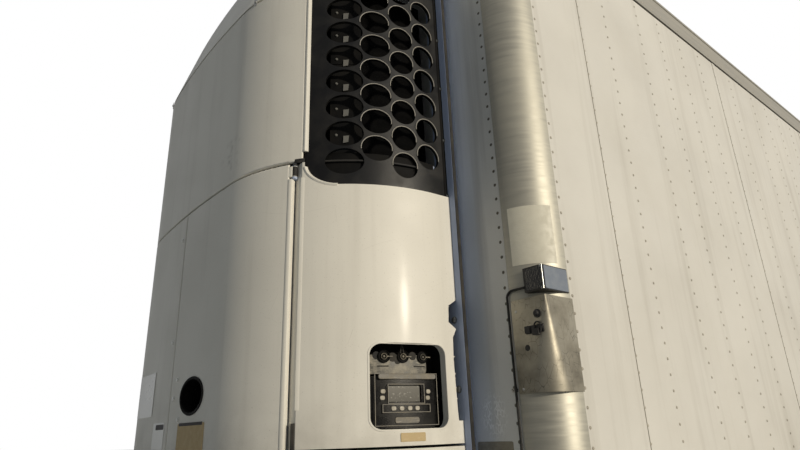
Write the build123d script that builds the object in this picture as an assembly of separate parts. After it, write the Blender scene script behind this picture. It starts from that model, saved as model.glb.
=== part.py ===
from build123d import *
import math
import os

# A 53 ft refrigerated semi-trailer parked on its landing legs, in millimetres.
# X runs from the nose to the rear doors, +Y is the kerb side, Z is up.
# The origin is under the middle of the whole trailer, on the ground.

# Insulated box
BODY_LENGTH = 16154
BODY_WIDTH = 2591
OVERALL_HEIGHT = 4115
POST_RADIUS = 142
SKIN_SET = 4
SIDE_THICKNESS = 64
FRONT_THICKNESS = 96
RAIL_THICKNESS = 8
BOTTOM_RAIL_LOW = 1165
BOTTOM_RAIL_HEIGHT = 200
TOP_RAIL_HEIGHT = 145
CEILING_DEPTH = 85
ROOF_CROWN = 12
FLOOR_TOP = 1400
GROOVE_DEPTH = 32
GROOVE_WIDTH = 22
GROOVE_PITCH = 64
GROOVE_COUNT = 37
CROSSMEMBER_HEIGHT = 102
CROSSMEMBER_WIDTH = 58
CROSSMEMBER_WEB = 6
CROSSMEMBER_PITCH = 406
CROSSMEMBER_START = 100

# Cold-air outlet under the ceiling, on the inside of the front wall
OUTLET_HALF_WIDTH = 760
OUTLET_DEPTH = 380
OUTLET_HEIGHT = 420
OUTLET_LIP = 130
OUTLET_SHEET = 12
OUTLET_VANES = 5

# Refrigeration unit on the nose. Heights called RISE are measured from its lower edge.
UNIT_DEPTH = 717
UNIT_HALF_WIDTH = 970
UNIT_FRONT_RADIUS = 5860
UNIT_CORNER_RADIUS = 594
UNIT_TAPER = 2.8
UNIT_SHELL = 28
UNIT_FOOT_RISE = 275
UNIT_TOP_DROP = 130
PANEL_SEAM_RISE = 146
MID_SEAM_RISE = 1115
HOOD_HEIGHT = 425
SEAM_GAP = 8
SKIN_ROUND = 5
DOOR_RISE = 20
SIDE_SEAM_DEPTH = 598
HINGE_GROOVE = 24
HOOD_LEAN = 17.5
HOOD_ROUND = 90
FLANGE_DEPTH = 60
FLANGE_THICKNESS = 8
FLANGE_PROUD = 16
FLANGE_REACH = 70
FRAME_INSET = 26
FRAME_SHEET = 30
FRAME_TOP_DROP = 60
TRAY_THICKNESS = 40
SHELF_THICKNESS = 30
SHELF_GAP = 5
GRILLE_LOW_DROP = 99
GRILLE_TOP_RISE = 50
GRILLE_FRONT_DEPTH = 568
GRILLE_CORNER = 85
GRILLE_THICKNESS = 14
GRILLE_SET = 8
GRILLE_HOLE = 51
GRILLE_EDGE = 20
GRILLE_PITCH = 112
GRILLE_GAP = 4
GRILLE_BORE_REACH = 40
COIL_INSET = 120
COIL_THICKNESS = 40
COIL_FRONT_GAP = 60
EXHAUST_Y = 218
EXHAUST_RISE = 336
EXHAUST_REACH = (98, 64)
UNIT_HINGE_PIN = 5
UNIT_KNUCKLE = 9
UNIT_HINGE_INSET = 9
UNIT_HINGE_HEIGHT = 40
UNIT_HINGE_END_GAP = 34
DOOR_CLEARANCE = 12
POST_CLEARANCE = 6
ENGINE_DEPTH = (90, 520)
ENGINE_WIDTH = (-380, 420)
ENGINE_RISE = 720

# Controller in the roadside panel
PANEL_FRONT_DEPTH = 400
PANEL_REAR_DEPTH = 132
PANEL_LOW_RISE = 192
PANEL_HIGH_RISE = 461
PANEL_CORNER = 38
RECESS_DEPTH = 62
RECESS_WALL = 4
RECESS_RIM = 14
CONTROLLER_END_GAP = 22
CONTROLLER_RISE = (6, 168)
CONTROLLER_CORNER = 18
SCREEN_ENDS = (78, 70)
SCREEN_RISE = (84, 138)
SCREEN_CORNER = 4
SCREEN_DEPTH = 6
GAUGE_PLATE_ENDS = (34, 4)
GAUGE_PLATE_RISE = (176, 238)
GAUGE_PLATE_CORNER = 14
GAUGE_PLATE_SET = 34

# Fittings on the roadside corner post. Heights are measured from the bottom rail's top.
CORNER_FITTING_PROUD = 3
CORNER_BOX_RISE = (563, 862)
CORNER_BOX_REACH = (138, 146)
CORNER_BOX_ROUND = (82, 5)
LAMP_RISE = (879, 961)
LAMP_REACH = (74, 132)
CABLE_RADIUS = 4
CABLE_BEND = 24
CABLE_INSET = 8
CABLE_START = 18
CABLE_END = 1320

# Running gear
TYRE_RADIUS = 505
TYRE_WIDTH = 292
TREAD_GROOVES = (-70, -24, 24, 70)
TREAD_GROOVE_WIDTH = 16
TREAD_GROOVE_DEPTH = 12
RIM_RADIUS = 286
RIM_WIDTH = 210
RIM_WALL = 9
RIM_LIP = 17
DISC_THICKNESS = 12
DISC_FLAT = 168
DISC_DISH = 95
HAND_HOLES = 5
HAND_HOLE_CIRCLE = 226
HAND_HOLE_RADIUS = 26
STUDS = 10
STUD_CIRCLE = 142
NUT_RADIUS = 16
NUT_REACH = 50
DUAL_SPACING = 330
DUAL_OUTER_FACE = 1290
HUB_RADIUS = 112
HUB_CAP_RADIUS = 52
HUB_CAP_REACH = 26
DRUM_RADIUS = 210
DRUM_WIDTH = 200
DRUM_WALL = 14
SPINDLE_RADIUS = 45
SPINDLE_SET = 150
RUNNING_FIT = 0.08
SEAT_FIT = 0.3
AXLE_TUBE_RADIUS = 63.5
AXLE_SPREAD = 1245
REAR_AXLE_FROM_END = 2150
FRAME_RAIL_Y = 530
FRAME_RAIL_WIDTH = 76
BOGIE_RAIL_HEIGHT = 115
BOGIE_REACH = (760, 700)
BOGIE_BEAM_WIDTH = 90
HANGER_TOP = 90
HANGER_FOOT = 55
HANGER_FROM_AXLE = 570
SLIDE_RAIL_HEIGHT = 95
SLIDE_RAIL_WALL = 10
SLIDE_RAIL_LEAD = 1500
RAIL_HOLE_RADIUS = 20
RAIL_HOLE_PITCH = 150
RAIL_HOLE_END = 120
LEAF_WIDTH = 76
LEAF_THICKNESS = 14
LEAF_RISE = 100
LEAF_SHARES = (1, 0.78, 0.5)
LEAF_TIP_GAP = 4
SPRING_SEAT_HEIGHT = 26
SPRING_SEAT = 70
U_BOLT_RADIUS = 8
CLAMP_PLATE = 16
CHAMBER_RADIUS = 75
CHAMBER_LENGTH = 150
CHAMBER_BACK = 150
CHAMBER_RISE = 40
CHAMBER_INBOARD = 170
MUDFLAP_BACK = 130
MUDFLAP_THICKNESS = 6
MUDFLAP_HEIGHT = (180, 970)
MUDFLAP_BAR = 40

# Coupling and landing legs
KINGPIN_SETBACK = 914
COUPLER_REACH = 600
COUPLER_PLATE = 10
CROSS_RIBS = 6
CROSS_RIB_INSET = 40
LONG_RIBS = 4
LONG_RIB_PITCH = 400
KINGPIN_NECK_RADIUS = 25.4
KINGPIN_HEAD_RADIUS = 35.7
KINGPIN_LENGTH = 84
KINGPIN_COLLAR = 22
KINGPIN_HEAD = 26
LEG_SETBACK = 2900
LEG_Y = 620
LEG_OUTER = 130
LEG_INNER = 104
LEG_SPLIT = 520
LEG_PLATE = 12
LEG_PLATE_HEIGHT = 200
LEG_PLATE_REACH = 230
SHOE_SIZE = 250
SHOE_THICKNESS = 14
SHOE_ROUND = 30
SHOE_GAP = 46
SHOE_EAR = 40
SHOE_EAR_THICKNESS = 12
SHOE_EAR_TOP = 110
SHOE_PIN = 14
SHAFT_HEIGHT = 1040
SHAFT_RADIUS = 14
LEG_TIE_LOW = 640
LEG_TIE_SIZE = 50
BRACE_RADIUS = 18
BRACE_REACH = 800
GEARBOX_SIZE = (140, 70, 160)
CRANK_RADIUS = 12
CRANK_INSET = 160
CRANK_DROP = 250
CRANK_GRIP = 125

# Air and electric connectors on the nose's bottom rail
CONNECTOR_PLATE = 6
CONNECTOR_PLATE_Y = (-420, 120)
CONNECTOR_PLATE_HALF_HEIGHT = 60
SOCKET_RADIUS = 36
SOCKET_REACH = 60
COUPLING_Y = (-340, -170)
COUPLING_STEM_RADIUS = 16
COUPLING_REACH = 48
COUPLING_RADIUS = 34
COUPLING_THICKNESS = 18

# Guard and tanks under the box
GUARD_INSET = 115
GUARD_HEIGHT = (480, 580)
GUARD_SET = (130, 30)
GUARD_UPRIGHT_Y = 560
GUARD_UPRIGHT_SIZE = (60, 80)
FUEL_TANK_BEHIND_LEGS = 1900
FUEL_TANK_RADIUS = 280
FUEL_TANK_HALF = 450
FUEL_TANK_ROUND = 30
FUEL_TANK_GAP = 12
FUEL_STRAP_Y = 250
FUEL_STRAP_WIDTH = 50
FUEL_STRAP_THICKNESS = 6
FUEL_CAP_RADIUS = 34
AIR_TANK_RADIUS = 120
AIR_TANK_ROUND = 40
AIR_TANK_Y = 200
AIR_TANK_DROP = 130
AIR_TANK_AHEAD = 950

# Rear frame and doors
REAR_FRAME_DEPTH = 110
REAR_POST = 90
HEADER_HEIGHT = 150
SILL_LOW = 1130
DOOR_THICKNESS = 90
DOOR_FACE = 25
DOOR_EDGE_GAP = 6
DOOR_MEETING_GAP = 16
PLUG_TAPER = 30
HINGE_TAPER = 12
HINGE_BACK = 75
HINGE_INSET = 18
HINGE_PIN = 8
HINGE_END_GAP = 180
LUG_HEIGHT = 12
KNUCKLE = 14
HINGE_COUNT = 5
STRAP_HEIGHT = 60
STRAP_THICKNESS = 8
STRAP_REACH = 250
LOCK_ROD = 13.5
LOCK_ROD_SET = 28
LOCK_ROD_FROM_MIDDLE = 322
LOCK_ROD_FROM_EDGE = 320
LOCK_ROD_REACH = 70
LOCK_GUIDES = 5
LOCK_GUIDE_END = 120
LOCK_GUIDE_SIZE = (68, 52)
LOCK_CAM_REACH = 58
LOCK_CAM_SIZE = (48, 24)
HANDLE_LENGTH = 300
HANDLE_RISE = (420, 500)
HANDLE_SIZE = (16, 32)
KEEPER_GAP = 34
KEEPER_THICKNESS = 12
KEEPER_HEIGHT = 48
KEEPER_DEPTH = 36
LAMP_RADIUS = 51
LAMP_DEPTH = 30
LAMP_PROUD = 8
LAMP_ROUND = 7
TAIL_LAMP_Y = (640, 780, 920)
MARKER_HALF_LENGTH = 50
MARKER_HALF_HEIGHT = 23
MARKER_PROUD = 18
MARKER_INSET = 215
BUMPER_PROUD = 76
BUMPER_INSET = (55, 215)
BUMPER_HEIGHT = (1150, 1330)
BUMPER_ROUND = 12

# How much of the roadside panel's rear edge is broken away, from top to bottom: rise, missing width
TEAR = (
    (622, 0),
    (598, 38),
    (540, 42),
    (518, 9),
    (488, 26),
    (410, 29),
    (345, 27),
    (248, 24),
    (216, 22),
    (216, 0),
)

# Columns of grille holes from front to rear: depth, rise of the lowest hole over the middle seam, half width
GRILLE_COLUMNS = (
    (464, -5, 71),
    (358, 51, 59),
    (256, -5, 51),
    (155, 51, 51),
)

REAR_PROUD = HINGE_BACK + KNUCKLE
SHELL_BACK = FLANGE_DEPTH + FLANGE_THICKNESS + SEAT_FIT
TRAY_FLOOR = UNIT_SHELL + RECESS_DEPTH - RECESS_WALL
TOTAL_LENGTH = UNIT_DEPTH + BODY_LENGTH + REAR_PROUD
FRONT_X = UNIT_DEPTH - TOTAL_LENGTH / 2
END_X = FRONT_X + BODY_LENGTH
HALF = BODY_WIDTH / 2
BOTTOM_RAIL_TOP = BOTTOM_RAIL_LOW + BOTTOM_RAIL_HEIGHT
TOP_RAIL_LOW = OVERALL_HEIGHT - TOP_RAIL_HEIGHT
CEILING = OVERALL_HEIGHT - CEILING_DEPTH
WALL_INNER = HALF - SKIN_SET - SIDE_THICKNESS
FRAME_X = END_X - REAR_FRAME_DEPTH
CROSSMEMBER_LOW = BOTTOM_RAIL_LOW + RAIL_THICKNESS
CROSSMEMBER_TOP = CROSSMEMBER_LOW + CROSSMEMBER_HEIGHT
UNIT_TOP = OVERALL_HEIGHT - UNIT_TOP_DROP
UNIT_LOW = BOTTOM_RAIL_TOP + UNIT_FOOT_RISE
PANEL_SEAM = UNIT_LOW + PANEL_SEAM_RISE
MID_SEAM = UNIT_LOW + MID_SEAM_RISE
HOOD_SEAM = UNIT_TOP - HOOD_HEIGHT
GRILLE_LOW = MID_SEAM - GRILLE_LOW_DROP
GRILLE_TOP = HOOD_SEAM + GRILLE_TOP_RISE
PANEL_LOW = UNIT_LOW + PANEL_LOW_RISE
PANEL_HIGH = UNIT_LOW + PANEL_HIGH_RISE
AXLE_X = (END_X - REAR_AXLE_FROM_END - AXLE_SPREAD, END_X - REAR_AXLE_FROM_END)
SLIDE_RAIL_LOW = CROSSMEMBER_LOW - SLIDE_RAIL_HEIGHT
BOGIE_TOP = SLIDE_RAIL_LOW
BOGIE_LOW = BOGIE_TOP - BOGIE_RAIL_HEIGHT
SPRING_SEAT_TOP = TYRE_RADIUS + AXLE_TUBE_RADIUS + SPRING_SEAT_HEIGHT
LEAF_PACK = LEAF_THICKNESS * len(LEAF_SHARES)
LEAF_TIP_TOP = SPRING_SEAT_TOP + LEAF_PACK + LEAF_RISE
KINGPIN_X = FRONT_X + KINGPIN_SETBACK
LEG_X = FRONT_X + LEG_SETBACK
SIDES = (("left", -1), ("right", 1))


def block(x, y, z):
    """A box between the low and high values of x, y and z."""
    size = [high - low for low, high in (x, y, z)]
    centre = [(low + high) / 2 for low, high in (x, y, z)]
    return Pos(*centre) * Box(*size)


def both_sides(shape):
    """The shape and its mirror image across the trailer's centre plane."""
    return [shape, mirror(shape, about=Plane.XZ)]


def to_side(shape, side):
    """A shape drawn on the kerb side, moved to the side asked for."""
    return shape if side > 0 else mirror(shape, about=Plane.XZ)


def prism_x(points, x):
    """A polygon of (y, z) points, stretched along X between two places."""
    face = make_face(Polyline(*[(x[0], y, z) for y, z in points], close=True))
    return extrude(face, amount=x[1] - x[0], dir=(1, 0, 0))


def prism_z(points, z):
    """A polygon of (x, y) points, stretched along Z between two heights."""
    face = make_face(Polyline(*[(px, py, z[0]) for px, py in points], close=True))
    return extrude(face, amount=z[1] - z[0], dir=(0, 0, 1))


def upward(face, height, z=0):
    """A horizontal face raised into a solid, standing at a height."""
    return Pos(0, 0, z) * extrude(face, amount=height, dir=(0, 0, 1))


def rod(start, end, radius):
    """A round bar between two points."""
    path = Vector(*end) - Vector(*start)
    plane = Plane(origin=start, z_dir=path)
    return extrude(plane * Circle(radius), amount=path.length, dir=path)


def turned(points, x, y_centre, z):
    """A (radius, y) outline turned about a wheel's axis, which runs along Y."""
    outline = Polyline(*[(x + radius, y_centre + y, z) for radius, y in points], close=True)
    return revolve(make_face(outline), Axis((x, 0, z), (0, 1, 0)))


# Insulated box


def body_plan(inset):
    """The box seen from above up to the rear frame, with its round front corners."""
    y = HALF - inset
    radius = POST_RADIUS - inset
    x0 = FRONT_X + inset
    bend = FRONT_X + POST_RADIUS
    turn = radius * math.sqrt(0.5)
    mid_x = bend - turn
    mid_y = HALF - POST_RADIUS + turn
    edge_y = HALF - POST_RADIUS
    lines = [
        Line((FRAME_X, -y), (bend, -y)),
        ThreePointArc((bend, -y), (mid_x, -mid_y), (x0, -edge_y)),
        Line((x0, -edge_y), (x0, edge_y)),
        ThreePointArc((x0, edge_y), (mid_x, mid_y), (bend, y)),
        Line((bend, y), (FRAME_X, y)),
        Line((FRAME_X, y), (FRAME_X, -y)),
    ]
    return make_face(Curve() + lines)


def body_ring(z, inner_inset, outer_inset=0):
    """A band round the box's front and sides between two heights."""
    height = z[1] - z[0]
    return upward(body_plan(outer_inset), height, z[0]) - upward(body_plan(inner_inset), height, z[0])


def side_wall(side):
    wall = block(
        (FRONT_X + POST_RADIUS, FRAME_X),
        (WALL_INNER, HALF - SKIN_SET),
        (BOTTOM_RAIL_TOP, TOP_RAIL_LOW),
    )
    return to_side(wall, side)


def front_wall():
    return block(
        (FRONT_X + SKIN_SET, FRONT_X + SKIN_SET + FRONT_THICKNESS),
        (POST_RADIUS - HALF, HALF - POST_RADIUS),
        (BOTTOM_RAIL_TOP, TOP_RAIL_LOW),
    )


def corner_posts():
    """Quarter-round extrusions, as thick as the side wall."""
    height = TOP_RAIL_LOW - BOTTOM_RAIL_TOP
    ring = Circle(POST_RADIUS) - Circle(POST_RADIUS - SKIN_SET - SIDE_THICKNESS)
    quarter = Pos(-POST_RADIUS / 2, POST_RADIUS / 2) * Rectangle(POST_RADIUS, POST_RADIUS)
    post = extrude(ring & quarter, amount=height)
    place = Pos(FRONT_X + POST_RADIUS, HALF - POST_RADIUS, BOTTOM_RAIL_TOP)
    return both_sides(place * post)


def rails(low, high, flanges):
    """Side rails and a front rail with round ends. Flanges are (low, high, reach) inward ledges."""
    band = body_ring((low, high), RAIL_THICKNESS)
    for flange_low, flange_high, reach in flanges:
        band += body_ring((flange_low, flange_high), reach)
    bend = FRONT_X + POST_RADIUS
    whole_x = (FRONT_X - POST_RADIUS, bend)
    height = (low - RAIL_THICKNESS, high + RAIL_THICKNESS)
    front = band & block(whole_x, (-BODY_WIDTH, BODY_WIDTH), height)
    side = band & block((bend, FRAME_X + RAIL_THICKNESS), (0, BODY_WIDTH), height)
    return [front, *both_sides(side)]


def bottom_rails():
    ledge = SKIN_SET + SIDE_THICKNESS
    return rails(
        BOTTOM_RAIL_LOW,
        BOTTOM_RAIL_TOP,
        [
            (BOTTOM_RAIL_TOP - RAIL_THICKNESS, BOTTOM_RAIL_TOP, ledge),
            (BOTTOM_RAIL_LOW, BOTTOM_RAIL_LOW + RAIL_THICKNESS, ledge),
        ],
    )


def top_rails():
    ledge = SKIN_SET + SIDE_THICKNESS
    return rails(
        TOP_RAIL_LOW,
        OVERALL_HEIGHT,
        [(TOP_RAIL_LOW, TOP_RAIL_LOW + RAIL_THICKNESS, ledge)],
    )


def roof_panel():
    """A crowned sheet whose thick edges come down onto the top rails' ledges."""
    edge = HALF - RAIL_THICKNESS
    ledge = TOP_RAIL_LOW + RAIL_THICKNESS
    x0 = FRONT_X + POST_RADIUS
    top = OVERALL_HEIGHT - ROOF_CROWN
    outline = [
        Polyline((x0, -edge, top), (x0, -edge, ledge), (x0, -WALL_INNER, ledge), (x0, -WALL_INNER, CEILING)),
        Polyline((x0, -WALL_INNER, CEILING), (x0, WALL_INNER, CEILING), (x0, WALL_INNER, ledge)),
        Polyline((x0, WALL_INNER, ledge), (x0, edge, ledge), (x0, edge, top)),
        ThreePointArc((x0, edge, top), (x0, 0, OVERALL_HEIGHT), (x0, -edge, top)),
    ]
    roof = extrude(make_face(Curve() + outline), amount=FRAME_X - x0, dir=(1, 0, 0))
    nose = upward(body_plan(RAIL_THICKNESS), top - CEILING, CEILING)
    nose &= block((FRONT_X, x0), (-HALF, HALF), (CEILING, top))
    nose_edge = block(
        (FRONT_X + RAIL_THICKNESS, FRONT_X + SKIN_SET + FRONT_THICKNESS),
        (POST_RADIUS - HALF, HALF - POST_RADIUS),
        (ledge, CEILING),
    )
    return roof + nose + nose_edge


def floor_deck():
    """A deck with air grooves along its whole length."""
    x = (FRONT_X + SKIN_SET + FRONT_THICKNESS, FRAME_X)
    edge = HALF - RAIL_THICKNESS
    ledge = BOTTOM_RAIL_TOP - RAIL_THICKNESS
    deck = prism_x(
        [
            (-edge, CROSSMEMBER_TOP),
            (edge, CROSSMEMBER_TOP),
            (edge, ledge),
            (WALL_INNER, ledge),
            (WALL_INNER, FLOOR_TOP),
            (-WALL_INNER, FLOOR_TOP),
            (-WALL_INNER, ledge),
            (-edge, ledge),
        ],
        (FRONT_X + POST_RADIUS, x[1]),
    )
    deck += block(
        (x[0], FRONT_X + POST_RADIUS),
        (POST_RADIUS - HALF, HALF - POST_RADIUS),
        (CROSSMEMBER_TOP, FLOOR_TOP),
    )
    grooves = [
        block(
            x,
            (middle - GROOVE_WIDTH / 2, middle + GROOVE_WIDTH / 2),
            (FLOOR_TOP - GROOVE_DEPTH, FLOOR_TOP),
        )
        for middle in [(i - (GROOVE_COUNT - 1) / 2) * GROOVE_PITCH for i in range(GROOVE_COUNT)]
    ]
    return deck - grooves


def crossmember_places():
    """The crossmembers' places, from behind the coupler to the rear frame."""
    x0 = KINGPIN_X + COUPLER_REACH + CROSSMEMBER_START
    return [x0 + i * CROSSMEMBER_PITCH for i in range(int((FRAME_X - x0) // CROSSMEMBER_PITCH) + 1)]


def outlet_profile(inset):
    """The cold-air outlet seen from the side: square at the top, sloping back below."""
    x0 = FRONT_X + SKIN_SET + FRONT_THICKNESS
    x1 = x0 + OUTLET_DEPTH - inset
    low = CEILING - OUTLET_HEIGHT + inset
    top = CEILING - inset
    return [(x0, top), (x1, top), (x1, CEILING - OUTLET_LIP), (x0 + OUTLET_LIP, low), (x0, low)]


def outlet_body(inset):
    """The outlet's shape, as wide as the housing less its wall."""
    half = OUTLET_HALF_WIDTH - inset
    face = make_face(Polyline(*[(x, -half, z) for x, z in outlet_profile(inset)], close=True))
    return extrude(face, amount=2 * half, dir=(0, 1, 0))


def cold_air_outlet():
    """The housing that blows cold air along the ceiling, open to the rear between upright vanes."""
    housing = outlet_body(0) - outlet_body(OUTLET_SHEET)
    x1 = FRONT_X + SKIN_SET + FRONT_THICKNESS + OUTLET_DEPTH
    half = OUTLET_HALF_WIDTH - OUTLET_SHEET
    height = (CEILING - OUTLET_LIP + OUTLET_SHEET, CEILING - OUTLET_SHEET)
    housing -= block((x1 - 2 * OUTLET_SHEET, x1), (-half, half), height)
    pitch = 2 * half / (OUTLET_VANES + 1)
    for i in range(OUTLET_VANES):
        y = (i + 1) * pitch - half
        width = (y - OUTLET_SHEET / 4, y + OUTLET_SHEET / 4)
        vane = (height[0] - OUTLET_SHEET, height[1] + OUTLET_SHEET / 2)
        housing += block((x1 - OUTLET_LIP, x1), width, vane)
    return housing


def nearest_crossmember(x):
    return min(crossmember_places(), key=lambda place: abs(place - x))


def crossmembers():
    """I-beams across the underside."""
    half_y = HALF - RAIL_THICKNESS
    flange = CROSSMEMBER_WEB
    z0, z1 = CROSSMEMBER_LOW, CROSSMEMBER_TOP
    beams = []
    for x in crossmember_places():
        side = (x - CROSSMEMBER_WIDTH / 2, x + CROSSMEMBER_WIDTH / 2)
        web = (x - CROSSMEMBER_WEB / 2, x + CROSSMEMBER_WEB / 2)
        beam = block(web, (-half_y, half_y), (z0, z1))
        beam += block(side, (-half_y, half_y), (z0, z0 + flange))
        beam += block(side, (-half_y, half_y), (z1 - flange, z1))
        beams.append(beam)
    return beams


# Coupling and landing legs


def coupler_plate():
    """The bolster plate under the nose, its bracing ribs and the kingpin."""
    plate_low = BOTTOM_RAIL_LOW + RAIL_THICKNESS
    plate_top = plate_low + COUPLER_PLATE
    x = (FRONT_X + POST_RADIUS, KINGPIN_X + COUPLER_REACH)
    half_y = HALF - RAIL_THICKNESS - SIDE_THICKNESS
    half_rib = COUPLER_PLATE / 2
    ribs = (plate_top, CROSSMEMBER_TOP)
    plate = block(x, (-half_y, half_y), (plate_low, plate_top))
    pitch = (x[1] - x[0] - 2 * CROSS_RIB_INSET) / (CROSS_RIBS - 1)
    for i in range(CROSS_RIBS):
        rib_x = x[0] + CROSS_RIB_INSET + i * pitch
        plate += block((rib_x - half_rib, rib_x + half_rib), (-half_y, half_y), ribs)
    for i in range(LONG_RIBS):
        rib_y = (i - (LONG_RIBS - 1) / 2) * LONG_RIB_PITCH
        plate += block(x, (rib_y - half_rib, rib_y + half_rib), ribs)
    head_low = plate_low - KINGPIN_LENGTH
    plate += rod((KINGPIN_X, 0, plate_low), (KINGPIN_X, 0, head_low), KINGPIN_NECK_RADIUS)
    plate += rod((KINGPIN_X, 0, plate_low), (KINGPIN_X, 0, plate_low - KINGPIN_COLLAR), KINGPIN_HEAD_RADIUS)
    plate += rod((KINGPIN_X, 0, head_low + KINGPIN_HEAD), (KINGPIN_X, 0, head_low), KINGPIN_HEAD_RADIUS)
    return plate


def leg_tube(size, z):
    """A square tube on the kerb side leg's axis."""
    half = size / 2
    return block((LEG_X - half, LEG_X + half), (LEG_Y - half, LEG_Y + half), z)


def landing_legs():
    """Square telescopic legs with swivelling shoes, run down to the ground."""
    leg = leg_tube(LEG_OUTER, (LEG_SPLIT, CROSSMEMBER_LOW)) + leg_tube(LEG_INNER, (SHOE_GAP, LEG_SPLIT))
    plate_y = LEG_Y - LEG_OUTER / 2
    leg += block(
        (LEG_X - LEG_PLATE_REACH, LEG_X + LEG_PLATE_REACH),
        (plate_y - LEG_PLATE, plate_y),
        (CROSSMEMBER_LOW - LEG_PLATE_HEIGHT, CROSSMEMBER_LOW),
    )
    half = SHOE_SIZE / 2
    shoe = block((LEG_X - half, LEG_X + half), (LEG_Y - half, LEG_Y + half), (0, SHOE_THICKNESS))
    shoe = fillet(shoe.edges().filter_by(Axis.Z), SHOE_ROUND)
    reach = LEG_INNER / 2 + SHOE_EAR_THICKNESS
    for ear in (-1, 1):
        y = sorted((LEG_Y + ear * LEG_INNER / 2, LEG_Y + ear * reach))
        shoe += block((LEG_X - SHOE_EAR, LEG_X + SHOE_EAR), y, (SHOE_THICKNESS, SHOE_EAR_TOP))
    pin_z = SHOE_EAR_TOP - 2 * SHOE_PIN
    pin_reach = reach + SHOE_EAR_THICKNESS
    shoe += rod((LEG_X, LEG_Y - pin_reach, pin_z), (LEG_X, LEG_Y + pin_reach, pin_z), SHOE_PIN)
    return both_sides(leg + shoe)


def landing_braces():
    """The cross shaft, the tie, a brace behind each leg, and the gearbox and crank on the roadside."""
    inner_y = LEG_Y - LEG_OUTER / 2
    outer_y = LEG_Y + LEG_OUTER / 2
    shaft_y = inner_y - LEG_PLATE
    shaft = rod((LEG_X, -shaft_y, SHAFT_HEIGHT), (LEG_X, shaft_y, SHAFT_HEIGHT), SHAFT_RADIUS)
    half = LEG_TIE_SIZE / 2
    tie = block((LEG_X - half, LEG_X + half), (-inner_y, inner_y), (LEG_TIE_LOW, LEG_TIE_LOW + LEG_TIE_SIZE))
    pieces = [shaft, tie]
    foot_x = LEG_X + LEG_OUTER / 2
    beam_x = nearest_crossmember(LEG_X + BRACE_REACH)
    room = block((foot_x, beam_x + BRACE_REACH), (-HALF, HALF), (0, CROSSMEMBER_LOW))
    for _, side in SIDES:
        start = (foot_x - LEG_OUTER / 2, side * LEG_Y, LEG_TIE_LOW)
        brace = rod(start, (beam_x, side * LEG_Y, CROSSMEMBER_LOW), BRACE_RADIUS)
        head = rod((beam_x, side * LEG_Y - LEG_TIE_SIZE, CROSSMEMBER_LOW - BRACE_RADIUS),
                   (beam_x, side * LEG_Y + LEG_TIE_SIZE, CROSSMEMBER_LOW - BRACE_RADIUS), BRACE_RADIUS)
        pieces.append((brace + head) & room)
    size_x, size_y, size_z = GEARBOX_SIZE
    gearbox = block(
        (LEG_X - size_x / 2, LEG_X + size_x / 2),
        (-outer_y - size_y, -outer_y),
        (SHAFT_HEIGHT - size_z / 2, SHAFT_HEIGHT + size_z / 2),
    )
    pieces.append(gearbox + crank(-outer_y - size_y))
    return pieces


def crank(start_y):
    """The crank that winds the legs, folded down beside the gearbox."""
    arm_y = CRANK_INSET - HALF
    half = CRANK_RADIUS / 2
    grip_z = SHAFT_HEIGHT - CRANK_DROP
    shape = rod((LEG_X, start_y, SHAFT_HEIGHT), (LEG_X, arm_y, SHAFT_HEIGHT), CRANK_RADIUS)
    shape += block(
        (LEG_X - CRANK_RADIUS, LEG_X + CRANK_RADIUS),
        (arm_y - half, arm_y + half),
        (grip_z - CRANK_RADIUS, SHAFT_HEIGHT + CRANK_RADIUS),
    )
    return shape + rod((LEG_X, arm_y, grip_z), (LEG_X, arm_y - CRANK_GRIP, grip_z), CRANK_RADIUS)


# Running gear


def slide_rails():
    """The channels under the box that the tandem slides in, with a row of pin holes."""
    x = (AXLE_X[0] - SLIDE_RAIL_LEAD, FRAME_X)
    half = FRAME_RAIL_WIDTH / 2
    wall = SLIDE_RAIL_WALL
    z = (SLIDE_RAIL_LOW, CROSSMEMBER_LOW)
    y = (FRAME_RAIL_Y - half, FRAME_RAIL_Y + half)
    rail = block(x, y, z) - block(x, (y[0], y[1] - wall), (z[0] + wall, z[1] - wall))
    middle = (z[0] + z[1]) / 2
    holes = []
    for i in range(int((x[1] - x[0] - 2 * RAIL_HOLE_END) // RAIL_HOLE_PITCH)):
        hole_x = x[0] + RAIL_HOLE_END + i * RAIL_HOLE_PITCH
        holes.append(rod((hole_x, y[1] - 2 * wall, middle), (hole_x, y[1] + wall, middle), RAIL_HOLE_RADIUS))
    return both_sides(rail - holes)


def bogie_frame():
    """Two box rails, cross beams and spring hangers of the sliding tandem."""
    x = (AXLE_X[0] - BOGIE_REACH[0], AXLE_X[1] + BOGIE_REACH[1])
    half = FRAME_RAIL_WIDTH / 2
    half_beam = BOGIE_BEAM_WIDTH / 2
    y = (FRAME_RAIL_Y - half, FRAME_RAIL_Y + half)
    frame = block(x, y, (BOGIE_LOW, BOGIE_TOP)) + block(x, (-y[1], -y[0]), (BOGIE_LOW, BOGIE_TOP))
    inboard = 0.3 * AXLE_SPREAD
    beams = (x[0] + BOGIE_BEAM_WIDTH, AXLE_X[0] + inboard, AXLE_X[1] - inboard, x[1] - BOGIE_BEAM_WIDTH)
    for beam_x in beams:
        room = (BOGIE_LOW + SLIDE_RAIL_WALL, BOGIE_TOP - SLIDE_RAIL_WALL)
        frame += block((beam_x - half_beam, beam_x + half_beam), (-y[0], y[0]), room)
    for hanger_x in hanger_places():
        hanger = Polyline(
            (hanger_x - HANGER_TOP, 0, BOGIE_LOW),
            (hanger_x + HANGER_TOP, 0, BOGIE_LOW),
            (hanger_x + HANGER_FOOT, 0, LEAF_TIP_TOP),
            (hanger_x - HANGER_FOOT, 0, LEAF_TIP_TOP),
            close=True,
        )
        plate = extrude(make_face(hanger), amount=half * 2, dir=(0, 1, 0))
        frame += Pos(0, y[0], 0) * plate
        frame += Pos(0, -y[1], 0) * plate
    return frame


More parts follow.
